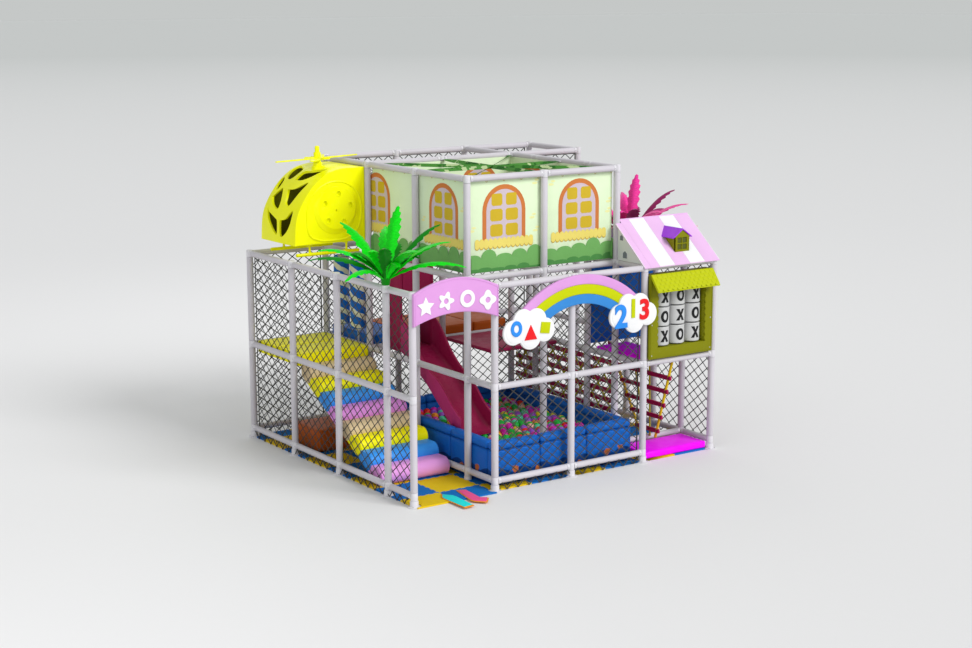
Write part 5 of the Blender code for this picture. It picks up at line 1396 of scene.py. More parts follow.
def window_bay(chance, shift=0.0):
    """Print of one bay seen from outside: x across, z up, its face towards -Y.

    The window may sit off the bay's middle, and is then cut off at the bay's edge.
    """
    bay = bmesh.new()
    layer = 0.0012

    def print_form(outline, level, index):
        if shift and index < 6:
            outline = trimmed([(x + shift, z) for x, z in outline], math.copysign(HALF_BAY - HAIR, shift))
        if len(outline) > 2:
            form = board(outline, layer, -layer * (level + 0.5), "Y", rounding=0.0004, segments=1)
            joined(bay, form, index)

    for _ in range(16):
        x, z = chance.uniform(-0.50, 0.50), chance.uniform(3.12, 3.78)
        if abs(x) > 0.38 and x * shift <= 0:
            print_form(oval((x, z), 0.085, 0.034, 10), 0, 8)
            print_form(oval((x + 0.03, z + 0.04), 0.07, 0.03, 10), 0, 8)
    print_form(arch_outline(0.335, 3.775), 1, 1)
    print_form(arch_outline(0.275, 3.715), 2, 2)
    for row, (aside, width) in enumerate(((0.120, 0.195), (0.120, 0.195), (0.112, 0.170))):
        for side in (-1, 1):
            z0 = 3.12 + row * 0.195
            pane = [(side * aside + w * width / 2 * (1 - abs(h) ** 6 * 0.08), z0 + 0.075 + h * 0.078)
                    for w, h in PANE_CORNERS]
            print_form(pane, 3, 3)
    pitch = 0.07
    box = [point for step in range(13) for point in arc((pitch * (step - 6), 3.065), pitch / 2, 180, 20, 4)]
    box += [point for step in range(13) for point in arc((pitch * (6 - step), 3.005), pitch / 2, 0, -160, 4)]
    print_form(box, 4, 4)
    print_form([(x, z - 0.012) for x, z in box], 3, 5)
    for level, index, base, count, low, high in ((5, 6, 2.86, 5, 0.04, 0.12), (6, 7, 2.70, 6, 0.0, 0.06)):
        hills = [(HALF_BAY, BAY_FOOT), (HALF_BAY, base)]
        width = 2 * HALF_BAY / count
        for step in range(count):
            x = HALF_BAY - width * (step + 0.5)
            base += chance.uniform(-0.012, 0.012)
            rise = chance.uniform(low, high)
            turns = [math.radians(turn) for turn in range(20, 181, 20)]
            hills += [(x + width / 2 * math.cos(turn), base + rise * math.sin(turn)) for turn in turns]
        print_form(hills + [(-HALF_BAY, BAY_FOOT)], level, index)
    return bay


def build_panels():
    """Stiff panels of the house, printed on both faces and laced through eyelets."""
    lo, hi = corners("house_cover")
    chance = random.Random(sizes().seed + 3)
    house = bmesh.new()
    for axis, place in ((1, lo.y), (1, hi.y - PANEL_THICK), (0, lo.x), (0, hi.x - PANEL_THICK)):
        other = 1 - axis
        for step in range(2):
            a, b = Vector(lo), Vector(hi)
            a[axis], b[axis] = place, place + PANEL_THICK
            a[other] = lo[other] + (hi[other] - lo[other]) * step / 2 + 0.0006
            b[other] = lo[other] + (hi[other] - lo[other]) * (step + 1) / 2 - 0.0006
            joined(house, block(a, b, 0.003), 0)
    sides = ((0.0, (1.8, lo.y), (3.0, lo.y)), (-90.0, (lo.x, 1.2), (lo.x, 2.4)),
             (90.0, (hi.x, 1.2), (hi.x, 2.4)), (180.0, (1.8, hi.y), (3.0, hi.y)))
    bays = [(angle, x, y) for angle, *middles in sides for x, y in middles]
    eyelets = []
    for angle, x, y in bays:
        outside = placing((x, y, 0.0), angle)
        inside = outside @ placing((0.0, PANEL_THICK, 0.0), 180)
        shift = OFF_MIDDLE if (x, y) == (lo.x, 2.4) else 0.0
        for face, offset in ((outside, -shift), (inside, shift)):
            joined(house, carried(window_bay(chance, offset), face), None)
        eyelets += [outside @ Matrix.Translation((0.27 * step - 0.54, -0.0005, hi.z - 0.03))
                    for step in range(5)]
    ring = turned([(0.009, -0.0015), (0.016, -0.0015), (0.016, 0.001), (0.009, 0.001)], steps=12, closed=True)
    scattered(house, carried(ring, placing((0.0, 0.0, 0.0), 90, "X")), eyelets, 9)
    add_piece("house_panels", house, HOUSE_PRINTS, ["house_cover"])


def camouflage(place):
    """Blotches of two greens with paler ones over them."""
    first = ramp(grain(place, 5.0, 3.0), 0.47, 0.50)
    second = ramp(grain(moved_place(place, (7.0, 3.0, 0.0)), 7.0, 3.0), 0.60, 0.62)
    ground = blend_colour(first, (0.02, 0.13, 0.015, 1.0), (0.07, 0.25, 0.04, 1.0))
    return blend_colour(second, ground, (0.50, 0.62, 0.32, 1.0))


def build_straps():
    """Four webbing straps that cross over the house, sagging a little, each clamped at both ends."""
    lo, hi = corners("roof_straps")
    middle = (lo + hi) / 2
    straight, slanting = (hi.x - lo.x) / 2 - 0.003, math.hypot(1.2, 1.2) - 0.1
    webbing = bmesh.new()
    for index in range(4):
        reach = slanting if index % 2 else straight
        turn = math.radians(45 * index)
        way = Vector((math.cos(turn), math.sin(turn), 0.0))
        side = Vector((-way.y, way.x, 0.0))
        side *= 0.034 if side.x + side.y > 0 else -0.034
        rings = []
        for step in range(25):
            share = 2 * step / 24 - 1
            sag = 0.010 * (1 - share ** 2)
            spot = middle + way * reach * share + Vector((0.0, 0.0, 0.0026 * (index - 1.5) - sag))
            tilt = math.radians(34) * min(1.0, 4.0 * (1 - abs(share)))
            edge = side * math.cos(tilt) + Vector((0.0, 0.0, side.length * math.sin(tilt)))
            up = edge.cross(way).normalized() * 0.0012
            rings.append([spot + edge + up, spot + up * 1.6, spot - edge + up,
                          spot - edge - up, spot - up * 1.6, spot + edge - up])
        joined(webbing, lofted(rings), 0)
        for sign in (-1, 1):
            clamp = block((-0.012, -0.04, -0.007), (0.012, 0.04, 0.007), 0.003)
            joined(webbing, carried(clamp, placing(middle + way * (reach - 0.016) * sign, 45 * index)), 1)
    cloth = finish("strap_camouflage", (0.10, 0.32, 0.08), roughness=0.8, pattern=camouflage,
                   height=woven(0.003), relief=0.3)
    add_piece("roof_strap_webbing", webbing, [cloth, "clamp_white"], ["roof_straps"])


class HouseOperator(bpy.types.Operator):
    """Printed house panels with windows, and the crossed straps over them"""

    bl_idname = "playground.house"
    bl_label = "House and straps"

    def execute(self, context):
        build_panels()
        build_straps()
        return {"FINISHED"}


# Striped roof, dormer and awning
ROOF_EAVE = (-0.07, 2.63)
ROOF_RIDGE = (0.6, 3.186)
ROOF_SLOPE = (ROOF_RIDGE[1] - ROOF_EAVE[1]) / (ROOF_RIDGE[0] - ROOF_EAVE[0])
ROOF_THICK = 0.0125
# Where the roof stops before the crown's post, and how far across the post reaches
ROOF_STOP = 0.5535
POST_REACH = 3.6465
GABLE_FOOT = 2.6585
DORMER_X = (4.188, 4.44)
DORMER_EAVE = 2.966
DORMER_APEX = 3.074


def roof_height(y):
    """Height of the front slope's upper face."""
    return ROOF_EAVE[1] + ROOF_SLOPE * (y - ROOF_EAVE[0])


def roof_depth(z):
    """Place along Y at which the front slope's upper face has a height."""
    return (z - ROOF_EAVE[1]) / ROOF_SLOPE + ROOF_EAVE[0]


def roof_stripe(x0, x1, short):
    """One padded stripe over both slopes, or a short one that stops before the crown's post."""
    under = (ROOF_EAVE[0], ROOF_EAVE[1] - ROOF_THICK)
    if short:
        end = roof_height(ROOF_STOP)
        line = [(ROOF_STOP, end), ROOF_EAVE, under, (ROOF_STOP, end - ROOF_THICK)]
    else:
        back = (1.2, ROOF_RIDGE[1] - ROOF_SLOPE * (1.2 - ROOF_RIDGE[0]))
        line = [back, ROOF_RIDGE, ROOF_EAVE, under, (ROOF_RIDGE[0], ROOF_RIDGE[1] - ROOF_THICK),
                (back[0], back[1] - ROOF_THICK)]
    return board(line, x1 - x0, (x0 + x1) / 2, "X", rounding=0.003)


def build_roof():
    """Stripes down both slopes, piping, ridge cap and the gable board with two windows."""
    lo, hi = corners("striped_roof")
    left, right = lo.x + 0.006, hi.x - 0.006
    roof = bmesh.new()
    width = (hi.x - lo.x) / 5
    for index in range(5):
        x0, x1 = lo.x + width * index + 0.0004, lo.x + width * (index + 1) - 0.0004
        if index == 0:
            joined(roof, roof_stripe(x0, POST_REACH - 0.0002, True), 0)
            x0 = POST_REACH + 0.0002
        joined(roof, roof_stripe(x0, x1, False), index % 2)
    joined(roof, strand([(3.65, 0.6, 3.187), (hi.x - 0.004, 0.6, 3.187)], 0.008, 8), 0)
    for x, end in ((left, 0.545), (right, 0.6)):
        edge = [(x, ROOF_EAVE[0] + 0.004, ROOF_EAVE[1]), (x, end, roof_height(end))]
        joined(roof, strand(edge, 0.0055, 8), 1)
    eave = [(x, ROOF_EAVE[0] + 0.003, ROOF_EAVE[1] - 0.004) for x in (left, right)]
    joined(roof, strand(eave, 0.006, 8), 0)
    front = roof_depth(GABLE_FOOT) + 0.05
    gable = [(front, GABLE_FOOT), (ROOF_STOP, GABLE_FOOT), (ROOF_STOP, roof_height(ROOF_STOP) - ROOF_THICK),
             (front, roof_height(front) - ROOF_THICK)]
    joined(roof, board(gable, 0.018, 3.6, "X", rounding=0.003), 2)
    for y, z, size in ((0.475, 2.96, 0.035), (0.40, 2.74, 0.045)):
        pane = [(y + px * size, z + pz * size)
                for px, pz in ((-1, -1), (1, -1), (1, 0.6), (0, 1.3), (-1, 0.6))]
        joined(roof, board(pane, 0.004, 3.5905, "X", rounding=0.001), 3)
        joined(roof, strand([(3.589, *point) for point in pane], 0.004, 6, closed=True), 2)
    add_piece("striped_roof_pads", roof, ["roof_lilac", "roof_white", "gable_white", "pane_grey"],
              ["striped_roof"])


def build_dormer():
    """Small house on the slope with four panes and a purple roof."""
    lo, hi = corners("dormer")
    x0, x1 = DORMER_X
    middle = (x0 + x1) / 2
    eave, apex = DORMER_EAVE, DORMER_APEX
    base = roof_height(lo.y) + HAIR
    house = bmesh.new()
    side = [(lo.y, base), (roof_depth(eave), eave), (lo.y, eave)]
    for x in (x0 + 0.008, x1 - 0.008):
        joined(house, board(side, 0.016, x, "X", rounding=0.003), 0)
    face = [(x0, base), (x1, base), (x1, eave), (middle, apex - 0.012), (x0, eave)]
    tall = (eave - base - 0.06) / 2
    panes = []
    for a in (x0 + 0.045, x0 + 0.132):
        for b in (base + 0.03, base + 0.03 + (tall + 0.016)):
            panes.append([(a, b), (a, b + tall), (a + 0.075, b + tall), (a + 0.075, b)])
    joined(house, board(face, 0.02, lo.y + 0.010, "Y", panes, rounding=0.003), 0)
    joined(house, block((x0 + 0.03, lo.y + 0.012, base + 0.02), (x1 - 0.03, lo.y + 0.016, eave - 0.02)), 2)
    front = lo.y - 0.012
    for sign in (-1, 1):
        outer = middle + sign * (hi.x - lo.x) / 2
        rings = [[(middle, inside, apex), (outer, outside, eave - 0.004), (outer, outside, eave - 0.018),
                  (middle, inside, apex - 0.014)]
                 for inside, outside in ((front, front), (roof_depth(apex), roof_depth(eave - 0.005)))]
        joined(house, lofted(rings), 1)
    add_piece("dormer_house", house, ["game_olive", "dormer_purple", "pane_shadow"], ["dormer"])


def build_awning():
    """Five rows of rounded shingles on a sloping board."""
    lo, hi = corners("awning")
    root = Vector((hi.y, hi.z - 0.004))
    tip = Vector((lo.y + 0.006, hi.z - 0.21))
    run = tip - root
    awning = bmesh.new()
    outline = [(hi.y, hi.z - 0.014), (hi.y, hi.z - 0.05), (lo.y + 0.018, hi.z - 0.222),
               (lo.y + 0.006, hi.z - 0.214)]
    joined(awning, board(outline, hi.x - lo.x - 0.004, (lo.x + hi.x) / 2, "X", rounding=0.004), 0)
    front = [(x, tip.x + 0.004, tip.y - 0.001) for x in (lo.x + 0.004, hi.x - 0.004)]
    joined(awning, strand(front, 0.0095, 10), 0)
    for x in (lo.x + 0.010, hi.x - 0.010):
        joined(awning, strand([(x, root.x, root.y + 0.002), (x, tip.x + 0.004, tip.y + 0.001)], 0.010, 8), 0)
    rows, across = 5, 13
    width, deep = (hi.x - lo.x) / across, run.length / rows
    half = width / 2 - HAIR
    tilt = Matrix.Rotation(math.atan2(run.y, run.x) + math.pi - math.radians(2.5), 4, "X")
    for row in range(rows):
        # Every second row is shifted by half a shingle and has narrow ones at its ends
        steps = [(width * (step + 0.5), 1.0) for step in range(across)]
        if row % 2:
            steps = [(width * (step + 1), 1.0) for step in range(across - 1)]
            steps += [(width * 0.25, 0.5), (width * (across - 0.25), 0.5)]
        shoulder = half * 0.7 - deep * (1.35 if row < rows - 1 else 0.98)
        tongue = [(-half, 0.0), (-half, shoulder)]
        for turn in (math.radians(turn) for turn in range(195, 346, 15)):
            tongue.append((half * math.cos(turn), shoulder + half * 0.7 * math.sin(turn)))
        tongue += [(half, shoulder), (half, 0.0)]
        spot = root + run.normalized() * deep * row
        places = [placing((lo.x + x, spot.x, spot.y + 0.002)) @ tilt @ Matrix.Diagonal((share, 1, 1, 1))
                  for x, share in steps]
        scattered(awning, board(tongue, 0.008, 0.004, rounding=0.0025), places, 0)
    add_piece("awning_shingles", awning, ["awning_shingle"], ["awning"])


class RoofOperator(bpy.types.Operator):
    """Striped roof with its gable, the dormer and the shingled awning"""

    bl_idname = "playground.roof"
    bl_label = "Roof and awning"

    def execute(self, context):
        build_roof()
        build_dormer()
        build_awning()
        return {"FINISHED"}


# Noughts and crosses: how far the marks are turned, the board's face, case and opening, and the drums' axis
MARK_TURN = math.radians(-5)
FACE_X = (3.624, 4.728)
CASE_X = (3.647, 4.753)
OPENING_X = (3.782, 4.586)
OPENING_Z = (1.545, 2.337)
PLATE_BACK = -0.0463
AXIS_Y = 0.055


def wrapped(part, centre, radius):
    """Lay a flat form, drawn round x = 0 with its face towards -Y, round an upright drum."""
    for vert in part.verts:
        turn = vert.co.x / radius + MARK_TURN
        out = radius - vert.co.y
        vert.co = Vector((centre[0] + out * math.sin(turn), centre[1] - out * math.cos(turn), vert.co.z))
    return part


def cross_form(height, width, stroke, middle):
    """Outline of a cross mark."""
    half = Vector((width / 2, height / 2))
    arm = Vector((stroke, 0.0))
    neck = stroke * 0.62
    return [(-half.x, middle - half.y), (-half.x + arm.x, middle - half.y), (0.0, middle - neck),
            (half.x - arm.x, middle - half.y), (half.x, middle - half.y), (neck * 0.62, middle),
            (half.x, middle + half.y), (half.x - arm.x, middle + half.y), (0.0, middle + neck),
            (-half.x + arm.x, middle + half.y), (-half.x, middle + half.y), (-neck * 0.62, middle)]


def fine_cut(part, step=0.012):
    """Cut a flat form into upright strips, so that it bends well."""
    left = min(vert.co.x for vert in part.verts)
    right = max(vert.co.x for vert in part.verts)
    x = left + step
    while x < right - step / 3:
        bmesh.ops.bisect_plane(part, geom=part.verts[:] + part.edges[:] + part.faces[:],
                               plane_co=(x, 0.0, 0.0),
                               plane_no=(1.0, 0.0, 0.0))
        x += step
    return part


def wavy_hole(waves=9, swell=0.016):
    """Outline of the board's opening, with shallow waves along its upright sides."""
    (x0, x1), (z0, z1) = OPENING_X, OPENING_Z
    left, right = [], []
    for step in range(waves * 6 + 1):
        z = z0 + (z1 - z0) * step / (waves * 6)
        bulge = swell * abs(math.sin(math.pi * step / 6))
        right.append((x1 + 0.001 + swell - bulge, z))
        left.append((x0 - 0.001 - swell + bulge, z))
    return left + right[::-1]


def build_game_board():
    """Board with a wavy opening, its case, rods and collars."""
    lo, hi = corners("game_frame")
    (x0, x1), (z0, z1), (left, right) = OPENING_X, OPENING_Z, FACE_X
    plate = PLATE_BACK - lo.y
    game = bmesh.new()
    outline = [(left, lo.z), (right, lo.z), (right, hi.z), (left, hi.z)]
    face = board(outline, plate, lo.y + plate / 2, "Y", [wavy_hole()], rounding=0.008, segments=3)
    joined(game, face, 0)
    rim = [(x, lo.y - 0.0005, z) for x, z in ((left + 0.018, lo.z + 0.018), (right - 0.018, lo.z + 0.018),
                                             (right - 0.018, hi.z - 0.018), (left + 0.018, hi.z - 0.018))]
    joined(game, strand(rim, 0.005, 8, closed=True), 0)
    for a, b in ((CASE_X[0], x0), (x1, CASE_X[1])):
        joined(game, block((a, PLATE_BACK - 0.01, lo.z + 0.003), (b, hi.y, hi.z - 0.003), 0.006), 0)
    for a, b in ((lo.z + 0.003, z0), (z1, hi.z - 0.003)):
        joined(game, block((x0 - 0.01, PLATE_BACK - 0.01, a), (x1 + 0.01, hi.y, b), 0.004), 0)
    for column in range(3):
        x = x0 + (column + 0.5) * (x1 - x0) / 3
        joined(game, tube((x, AXIS_Y, z0 - 0.02), (x, AXIS_Y, z1 + 0.02), 0.0118, 16), 1)
        for row in range(3):
            foot = z0 + row * (z1 - z0) / 3
            joined(game, tube((x, AXIS_Y, foot - 0.004), (x, AXIS_Y, foot + 0.0118), 0.03, 20, 0.002), 1)
    screws = [placing((x, lo.y - 0.001, z), 90, "X")
              for x in (left + 0.041, right - 0.041) for z in (lo.z + 0.05, (lo.z + hi.z) / 2 - 0.1)]
    scattered(game, tube((0.0, 0.0, -0.004), (0.0, 0.0, 0.003), 0.009, 16, 0.002), screws, 1)
    add_piece("game_frame_board", game, ["game_olive", "screw_steel"], ["game_frame"])


def build_drum(name, crossed):
    """A hollow moulded drum with a cross on one side and a nought on the other."""
    lo, hi = corners(name)
    centre = ((lo.x + hi.x) / 2, (lo.y + hi.y) / 2, 0.0)
    radius = (hi.x - lo.x) / 2
    middle = (lo.z + hi.z) / 2
    # Distances from the rim of the radius and from the ends, from the bore on the top to the bore underneath
    rim = ((0.016, 0.001), (0.006, 0.003), (0.0, 0.012), (0.0, 0.02), (0.002, 0.022))
    profile = [(0.0129, hi.z - 0.004), (0.03, hi.z), (0.05, hi.z - 0.008), (radius - 0.03, hi.z - 0.008)]
    profile += [(radius - inward, hi.z - down) for inward, down in rim]
    profile += [(radius - inward, lo.z + up) for inward, up in reversed(rim)]
    profile += [(0.03, lo.z), (0.0129, lo.z + 0.004)]
    drum = bmesh.new()
    joined(drum, turned(profile, centre, 40, closed=True), 0)
    hole = oval((0.0, middle), 0.05, 0.09, 24)[::-1]
    cross = fine_cut(board(cross_form(0.155, 0.13, 0.048, middle), 0.002, -0.0002, "Y"))
    nought = fine_cut(board(oval((0.0, middle), 0.125, 0.16, 36), 0.002, -0.0002, "Y", [hole]))
    front, back = (cross, nought) if crossed else (nought, cross)
    joined(drum, wrapped(front, centre, radius - 0.002), 1)
    joined(drum, carried(wrapped(back, (0.0, 0.0), radius - 0.002), placing(centre, 180)), 1)
    # The shell's grey finish is painted shade; the drums themselves are white
    add_piece(f"{name}_shell", drum, ["drum_white", "mark_black"], [name], body=f"{name}_body")


class GameOperator(bpy.types.Operator):
    """Noughts-and-crosses frame with nine turning drums"""

    bl_idname = "playground.game"
    bl_label = "Noughts and crosses"

    def execute(self, context):
        build_game_board()
        for row in range(3):
            for column in range(3):
                build_drum(f"drum_{row + 1}_{column + 1}", (row + column) % 2 == 0)
        return {"FINISHED"}


# Helicopter: lines of the nose and the openings, side disc, shell, mast and skids
CABIN_NOSE = [(0.066, 2.844), (0.085, 3.12), (0.139, 3.306), (0.264, 3.511), (0.414, 3.672), (0.612, 3.799),
              (0.835, 3.846)]
CABIN_PANES = [
    [(3.875, 3.30), (3.80, 3.235), (3.60, 3.165), (3.535, 3.12), (3.532, 2.945), (3.67, 3.02), (3.80, 3.15)],
    [(3.46, 3.15), (3.32, 3.175), (3.17, 3.30), (3.165, 3.134), (3.28, 2.99), (3.43, 2.935)],
    [(3.875, 3.42), (3.79, 3.50), (3.72, 3.545), (3.60, 3.407), (3.585, 3.29), (3.70, 3.30), (3.80, 3.35)],
    [(3.575, 3.545), (3.41, 3.56), (3.20, 3.66), (3.24, 3.52), (3.33, 3.35), (3.45, 3.37), (3.50, 3.45)],
    [(3.90, 3.50), (3.93, 3.56), (3.935, 3.64), (3.90, 3.672), (3.85, 3.64), (3.83, 3.585), (3.845, 3.525)],
]
CROWN_PANES = [
    [(0.415, 3.823), (0.521, 3.90), (0.661, 3.90), (0.590, 3.69), (0.455, 3.675), (0.40, 3.73)],
    [(0.404, 3.58), (0.55, 3.58), (0.605, 3.40), (0.69, 3.19), (0.525, 3.235), (0.42, 3.39)],
]
DISC = (0.692, 3.288)
DISC_RIM = [(0.34, 2.93), (0.27, 3.02), (0.255, 3.25), (0.30, 3.44), (0.42, 3.58), (0.60, 3.665),
            (0.80, 3.665), (0.97, 3.58), (1.07, 3.43), (1.09, 3.22), (1.04, 3.04), (0.93, 2.93),
            (0.78, 2.885), (0.50, 2.885)]
CABIN_REAR = 1.1535
CABIN_TOP = 3.8455
CABIN_SIDES = (3.001, 3.969)
CABIN_THICK = 0.028
MAST = (0.696, 3.48, 0.0)
BLADES_Z = 3.95
RUNNER_Z = 2.7
STRUT_TOP = 2.8257
STRUTS_X = (0.35, 0.92)
RUNNERS_Y = (3.12, 3.85)


def closed_curve(points):
    """Smooth closed line through points."""
    return [tuple(point) for point in smooth_line([*points, points[0]], 4)][:-1]


def bent_shell():
    """Flowing nose and roof between two side boards, with the openings cut through."""
    rear, top, thick = CABIN_REAR, CABIN_TOP, CABIN_THICK
    y0, y1 = CABIN_SIDES
    nose = [tuple(point) for point in smooth_line(CABIN_NOSE, 6)]
    inner = []
    for index, point in enumerate(nose):
        before, after = Vector(nose[max(index - 1, 0)]), Vector(nose[min(index + 1, len(nose) - 1)])
        way = (after - before).normalized()
        inner.append((point[0] + way.y * thick, point[1] - way.x * thick))
    inner = [(rear + 0.02, 2.874), (inner[0][0], 2.874)] + inner[2:] + [(rear + 0.02, top - thick)]
    outer = [(rear, 2.846)] + nose + [(rear, top)]
    shell = board(outer, y1 - y0, (y0 + y1) / 2, "Y", rounding=0.012, segments=3)
    room = board(inner, y1 - y0 - 2 * thick, (y0 + y1) / 2, "Y")
    # Inner faces of the cut take the dark olive finish: painted shade inside the lemon cabin
    for face in room.faces:
        face.material_index = 1
    tools = [room]
    tools += [board(closed_curve(pane), 1.0, 0.02, "X") for pane in CABIN_PANES]
    tools += [board(closed_curve(pane), 0.6, 3.85, "Z") for pane in CROWN_PANES]
    return cut_away(shell, tools)


def side_disc(holes):
    """Raised disc on the cabin's side, pierced by the holes."""
    y0 = CABIN_SIDES[0]
    levels = [(0.012, 0.324, 0.0), (-0.003, 0.324, 0.0), (-0.006, 0.321, 0.0), (-0.027, 0.290, 0.031),
              (-0.030, 0.285, 0.032)]
    rings = []
    for out, reach, aside in levels:
        turns = [math.tau * step / 64 for step in range(64)]
        rings.append([Vector((DISC[0] + aside * 0.4 + reach * math.cos(turn), y0 + out,
                              DISC[1] + aside + reach * math.sin(turn))) for turn in turns])
    bores = [tube((x, y0 - 0.08, z), (x, y0 + 0.08, z), 0.036 if (x, z) != DISC else 0.014, 20)
             for x, z in holes]
    return cut_away(lofted(rings), bores)


def build_cabin():
    """Shell, side disc with lips round its holes, raised rim, seams and the rotor's boss."""
    y0 = CABIN_SIDES[0]
    holes = [DISC] + arc((DISC[0] + 0.012, DISC[1] + 0.02), 0.205, 84, 372, 4)
    cabin = bmesh.new()
    joined(cabin, bent_shell(), None)
    joined(cabin, side_disc(holes), 0)
    lip = [(0.035, -0.002), (0.042, -0.002), (0.0445, 0.001), (0.042, 0.004), (0.035, 0.004)]
    for x, z in holes[1:]:
        joined(cabin, carried(turned(lip, steps=24, closed=True), placing((x, y0 - 0.031, z), 90, "X")), 0)
    rim = [(x, y0 - 0.0005, z) for x, z in closed_curve(DISC_RIM)]
    joined(cabin, strand(rim, 0.014, 8, closed=True), 0)
    for x, top in ((1.12, 3.80), (0.11, 3.10)):
        joined(cabin, strand([(x, y0 - 0.0005, 2.88), (x, y0 - 0.0005, top)], 0.0035, 6), 0)
    boss = [(0.0, 4.0), (0.018, 4.0), (0.018, 3.9), (0.054, 3.9), (0.06, 3.893), (0.062, 3.855),
            (0.085, 3.842), (0.085, 3.80), (0.0, 3.80)]
    joined(cabin, turned(boss, MAST, 28), 0)
    add_piece("heli_cabin_shell", cabin, ["heli_lemon", "heli_inside"], ["heli_cabin"],
              sharp=16)


def build_skids():
    """Two straight runners on four struts, joined by two cross bars."""
    skids = bmesh.new()
    low, top = RUNNER_Z, STRUT_TOP
    for y in RUNNERS_Y:
        joined(skids, tube((0.146, y, low), (1.118, y, low), 0.0238, 16, 0.009, segments=3), 0)
        for x in STRUTS_X:
            joined(skids, tube((x, y, low), (x, y, top), 0.0162, 16), 0)
            joined(skids, tube((x - 0.03, y, low), (x + 0.03, y, low), 0.026, 16, 0.003), 0)
    for x in STRUTS_X:
        joined(skids, tube((x, RUNNERS_Y[0] - 0.02, top), (x, RUNNERS_Y[1] + 0.02, top), 0.0178, 16, 0.004),
               0)
    add_piece("heli_skid_frame", skids, ["heli_lemon"], ["heli_skids"])


def build_rotor():
    """Star hub with one long and one short pair of blades."""
    rotor = bmesh.new()
    profile = [(0.0, 4.12), (0.022, 4.118), (0.030, 4.108), (0.032, 4.04), (0.045, 4.03), (0.05, 4.022),
               (0.05, 3.905), (0.046, 3.9012), (0.0196, 3.9012), (0.0196, 4.0008), (0.0, 4.0008)]
    joined(rotor, turned(profile, MAST, 28, closed=False), 0)
    boss = board(star((0.0, 0.0), 0.175, 0.07, 6), 0.038, BLADES_Z, "Z", rounding=0.008, segments=3)
    joined(rotor, carried(boss, Matrix.Translation(MAST)), 0)
    # Half a blade's outline as share of the reach and of the width, from hub to tip
    taper = ((0.16, 0.48), (0.5, 0.42), (0.93, 0.30), (1.0, 0.16))
    for reach, width, turn, rise in ((0.738, 0.085, 13, 0.0), (0.498, 0.15, 54, 0.002)):
        half = [(0.03, width * 0.30)] + [(reach * out, width * aside) for out, aside in taper]
        outline = [(x, -y) for x, y in half] + half[::-1]
        for side in (0, 180):
            blade = board(outline, 0.016, 0.0, "Z", rounding=0.005, segments=3)
            place = placing(Vector(MAST) + Vector((0.0, 0.0, BLADES_Z + rise)), turn + side)
            joined(rotor, carried(blade, place), 0)
    add_piece("rotor_blades", rotor, ["heli_lemon"], ["rotor"], body="rotor_body")


class HelicopterOperator(bpy.types.Operator):
    """Cabin shell with its openings and side disc, skids and turning rotor"""

    bl_idname = "playground.helicopter"
    bl_label = "Helicopter"

    def execute(self, context):
        build_cabin()
        build_skids()
        build_rotor()
        return {"FINISHED"}


# Palms: outer leaves by direction, reach and rise, and the bud's profile
LEAVES = [(-35, 1.0, 0.13), (15, 0.95, 0.27), (58, 0.8, 0.5), (95, 0.95, 0.6), (135, 0.98, 0.17),
          (165, 0.85, 0.34), (205, 0.87, 0.08), (238, 0.75, 0.45), (268, 0.8, 0.38), (300, 0.9, 0.5),
          (340, 0.7, 0.62), (36, 0.44, 0.92)]
BUD = [(0.0, 0.0), (0.046, 0.0), (0.052, 0.012), (0.058, 0.06), (0.072, 0.12), (0.0745, 0.15), (0.066, 0.158),
       (0.0, 0.16)]


def leaf(reach, rise):
    """A toothed leaf along X: a folded blade with slits and a raised middle rib."""
    stations = sizes().leaf_teeth * 2
    root, width, arch, thick = 0.05, 0.19, 0.13, 0.0035

    def spine(share):
        out = root + (reach - root) * share
        return Vector((out, 0.0, rise * share + 4 * arch * share * (1 - share)))

    rings = []
    for step in range(stations + 1):
        share = step / stations * 0.985
        half = width / 2 * math.sin(math.pi * (0.05 + 0.935 * share))
        edge = half * (0.74 if step % 2 == 0 and 0 < step < stations else 1.0)
        sweep = 0.020 if step % 2 else -0.003
        along = (spine(share + 0.01) - spine(share - 0.01)).normalized()
        over = Vector((-along.z, 0.0, along.x))
        up = thick * (1.3 - share)
        drop, fold, inside = edge * 0.42, half * 0.08, half * 0.3
        # Places round the blade: across, above the rib's line and forward
        places = ((edge, -drop, sweep), (inside, up - fold, 0), (0, up * 2.2, 0), (-inside, up - fold, 0),
                  (-edge, -drop, sweep), (-inside, -up - fold, 0), (0, -up * 1.4, 0), (inside, -up - fold, 0))
        rings.append([spine(share) + along * forward + over * lift + Vector((0.0, across, 0.0))
                      for across, lift, forward in places])
    return lofted(rings)


def veined(ground, centre):
    """Pattern of pale streaks that run along the leaves, round the palm's centre."""
    def pattern(place):
        local = moved_place(place, [-value for value in centre])
        streaks = grain(moved_place(local, scale=(5.0, 5.0, 30.0)), 6.0, 3.0)
        return blend_colour(ramp(streaks, 0.42, 0.62, 0.0, 0.55), ground, mixed(ground, 0.5))

    return pattern


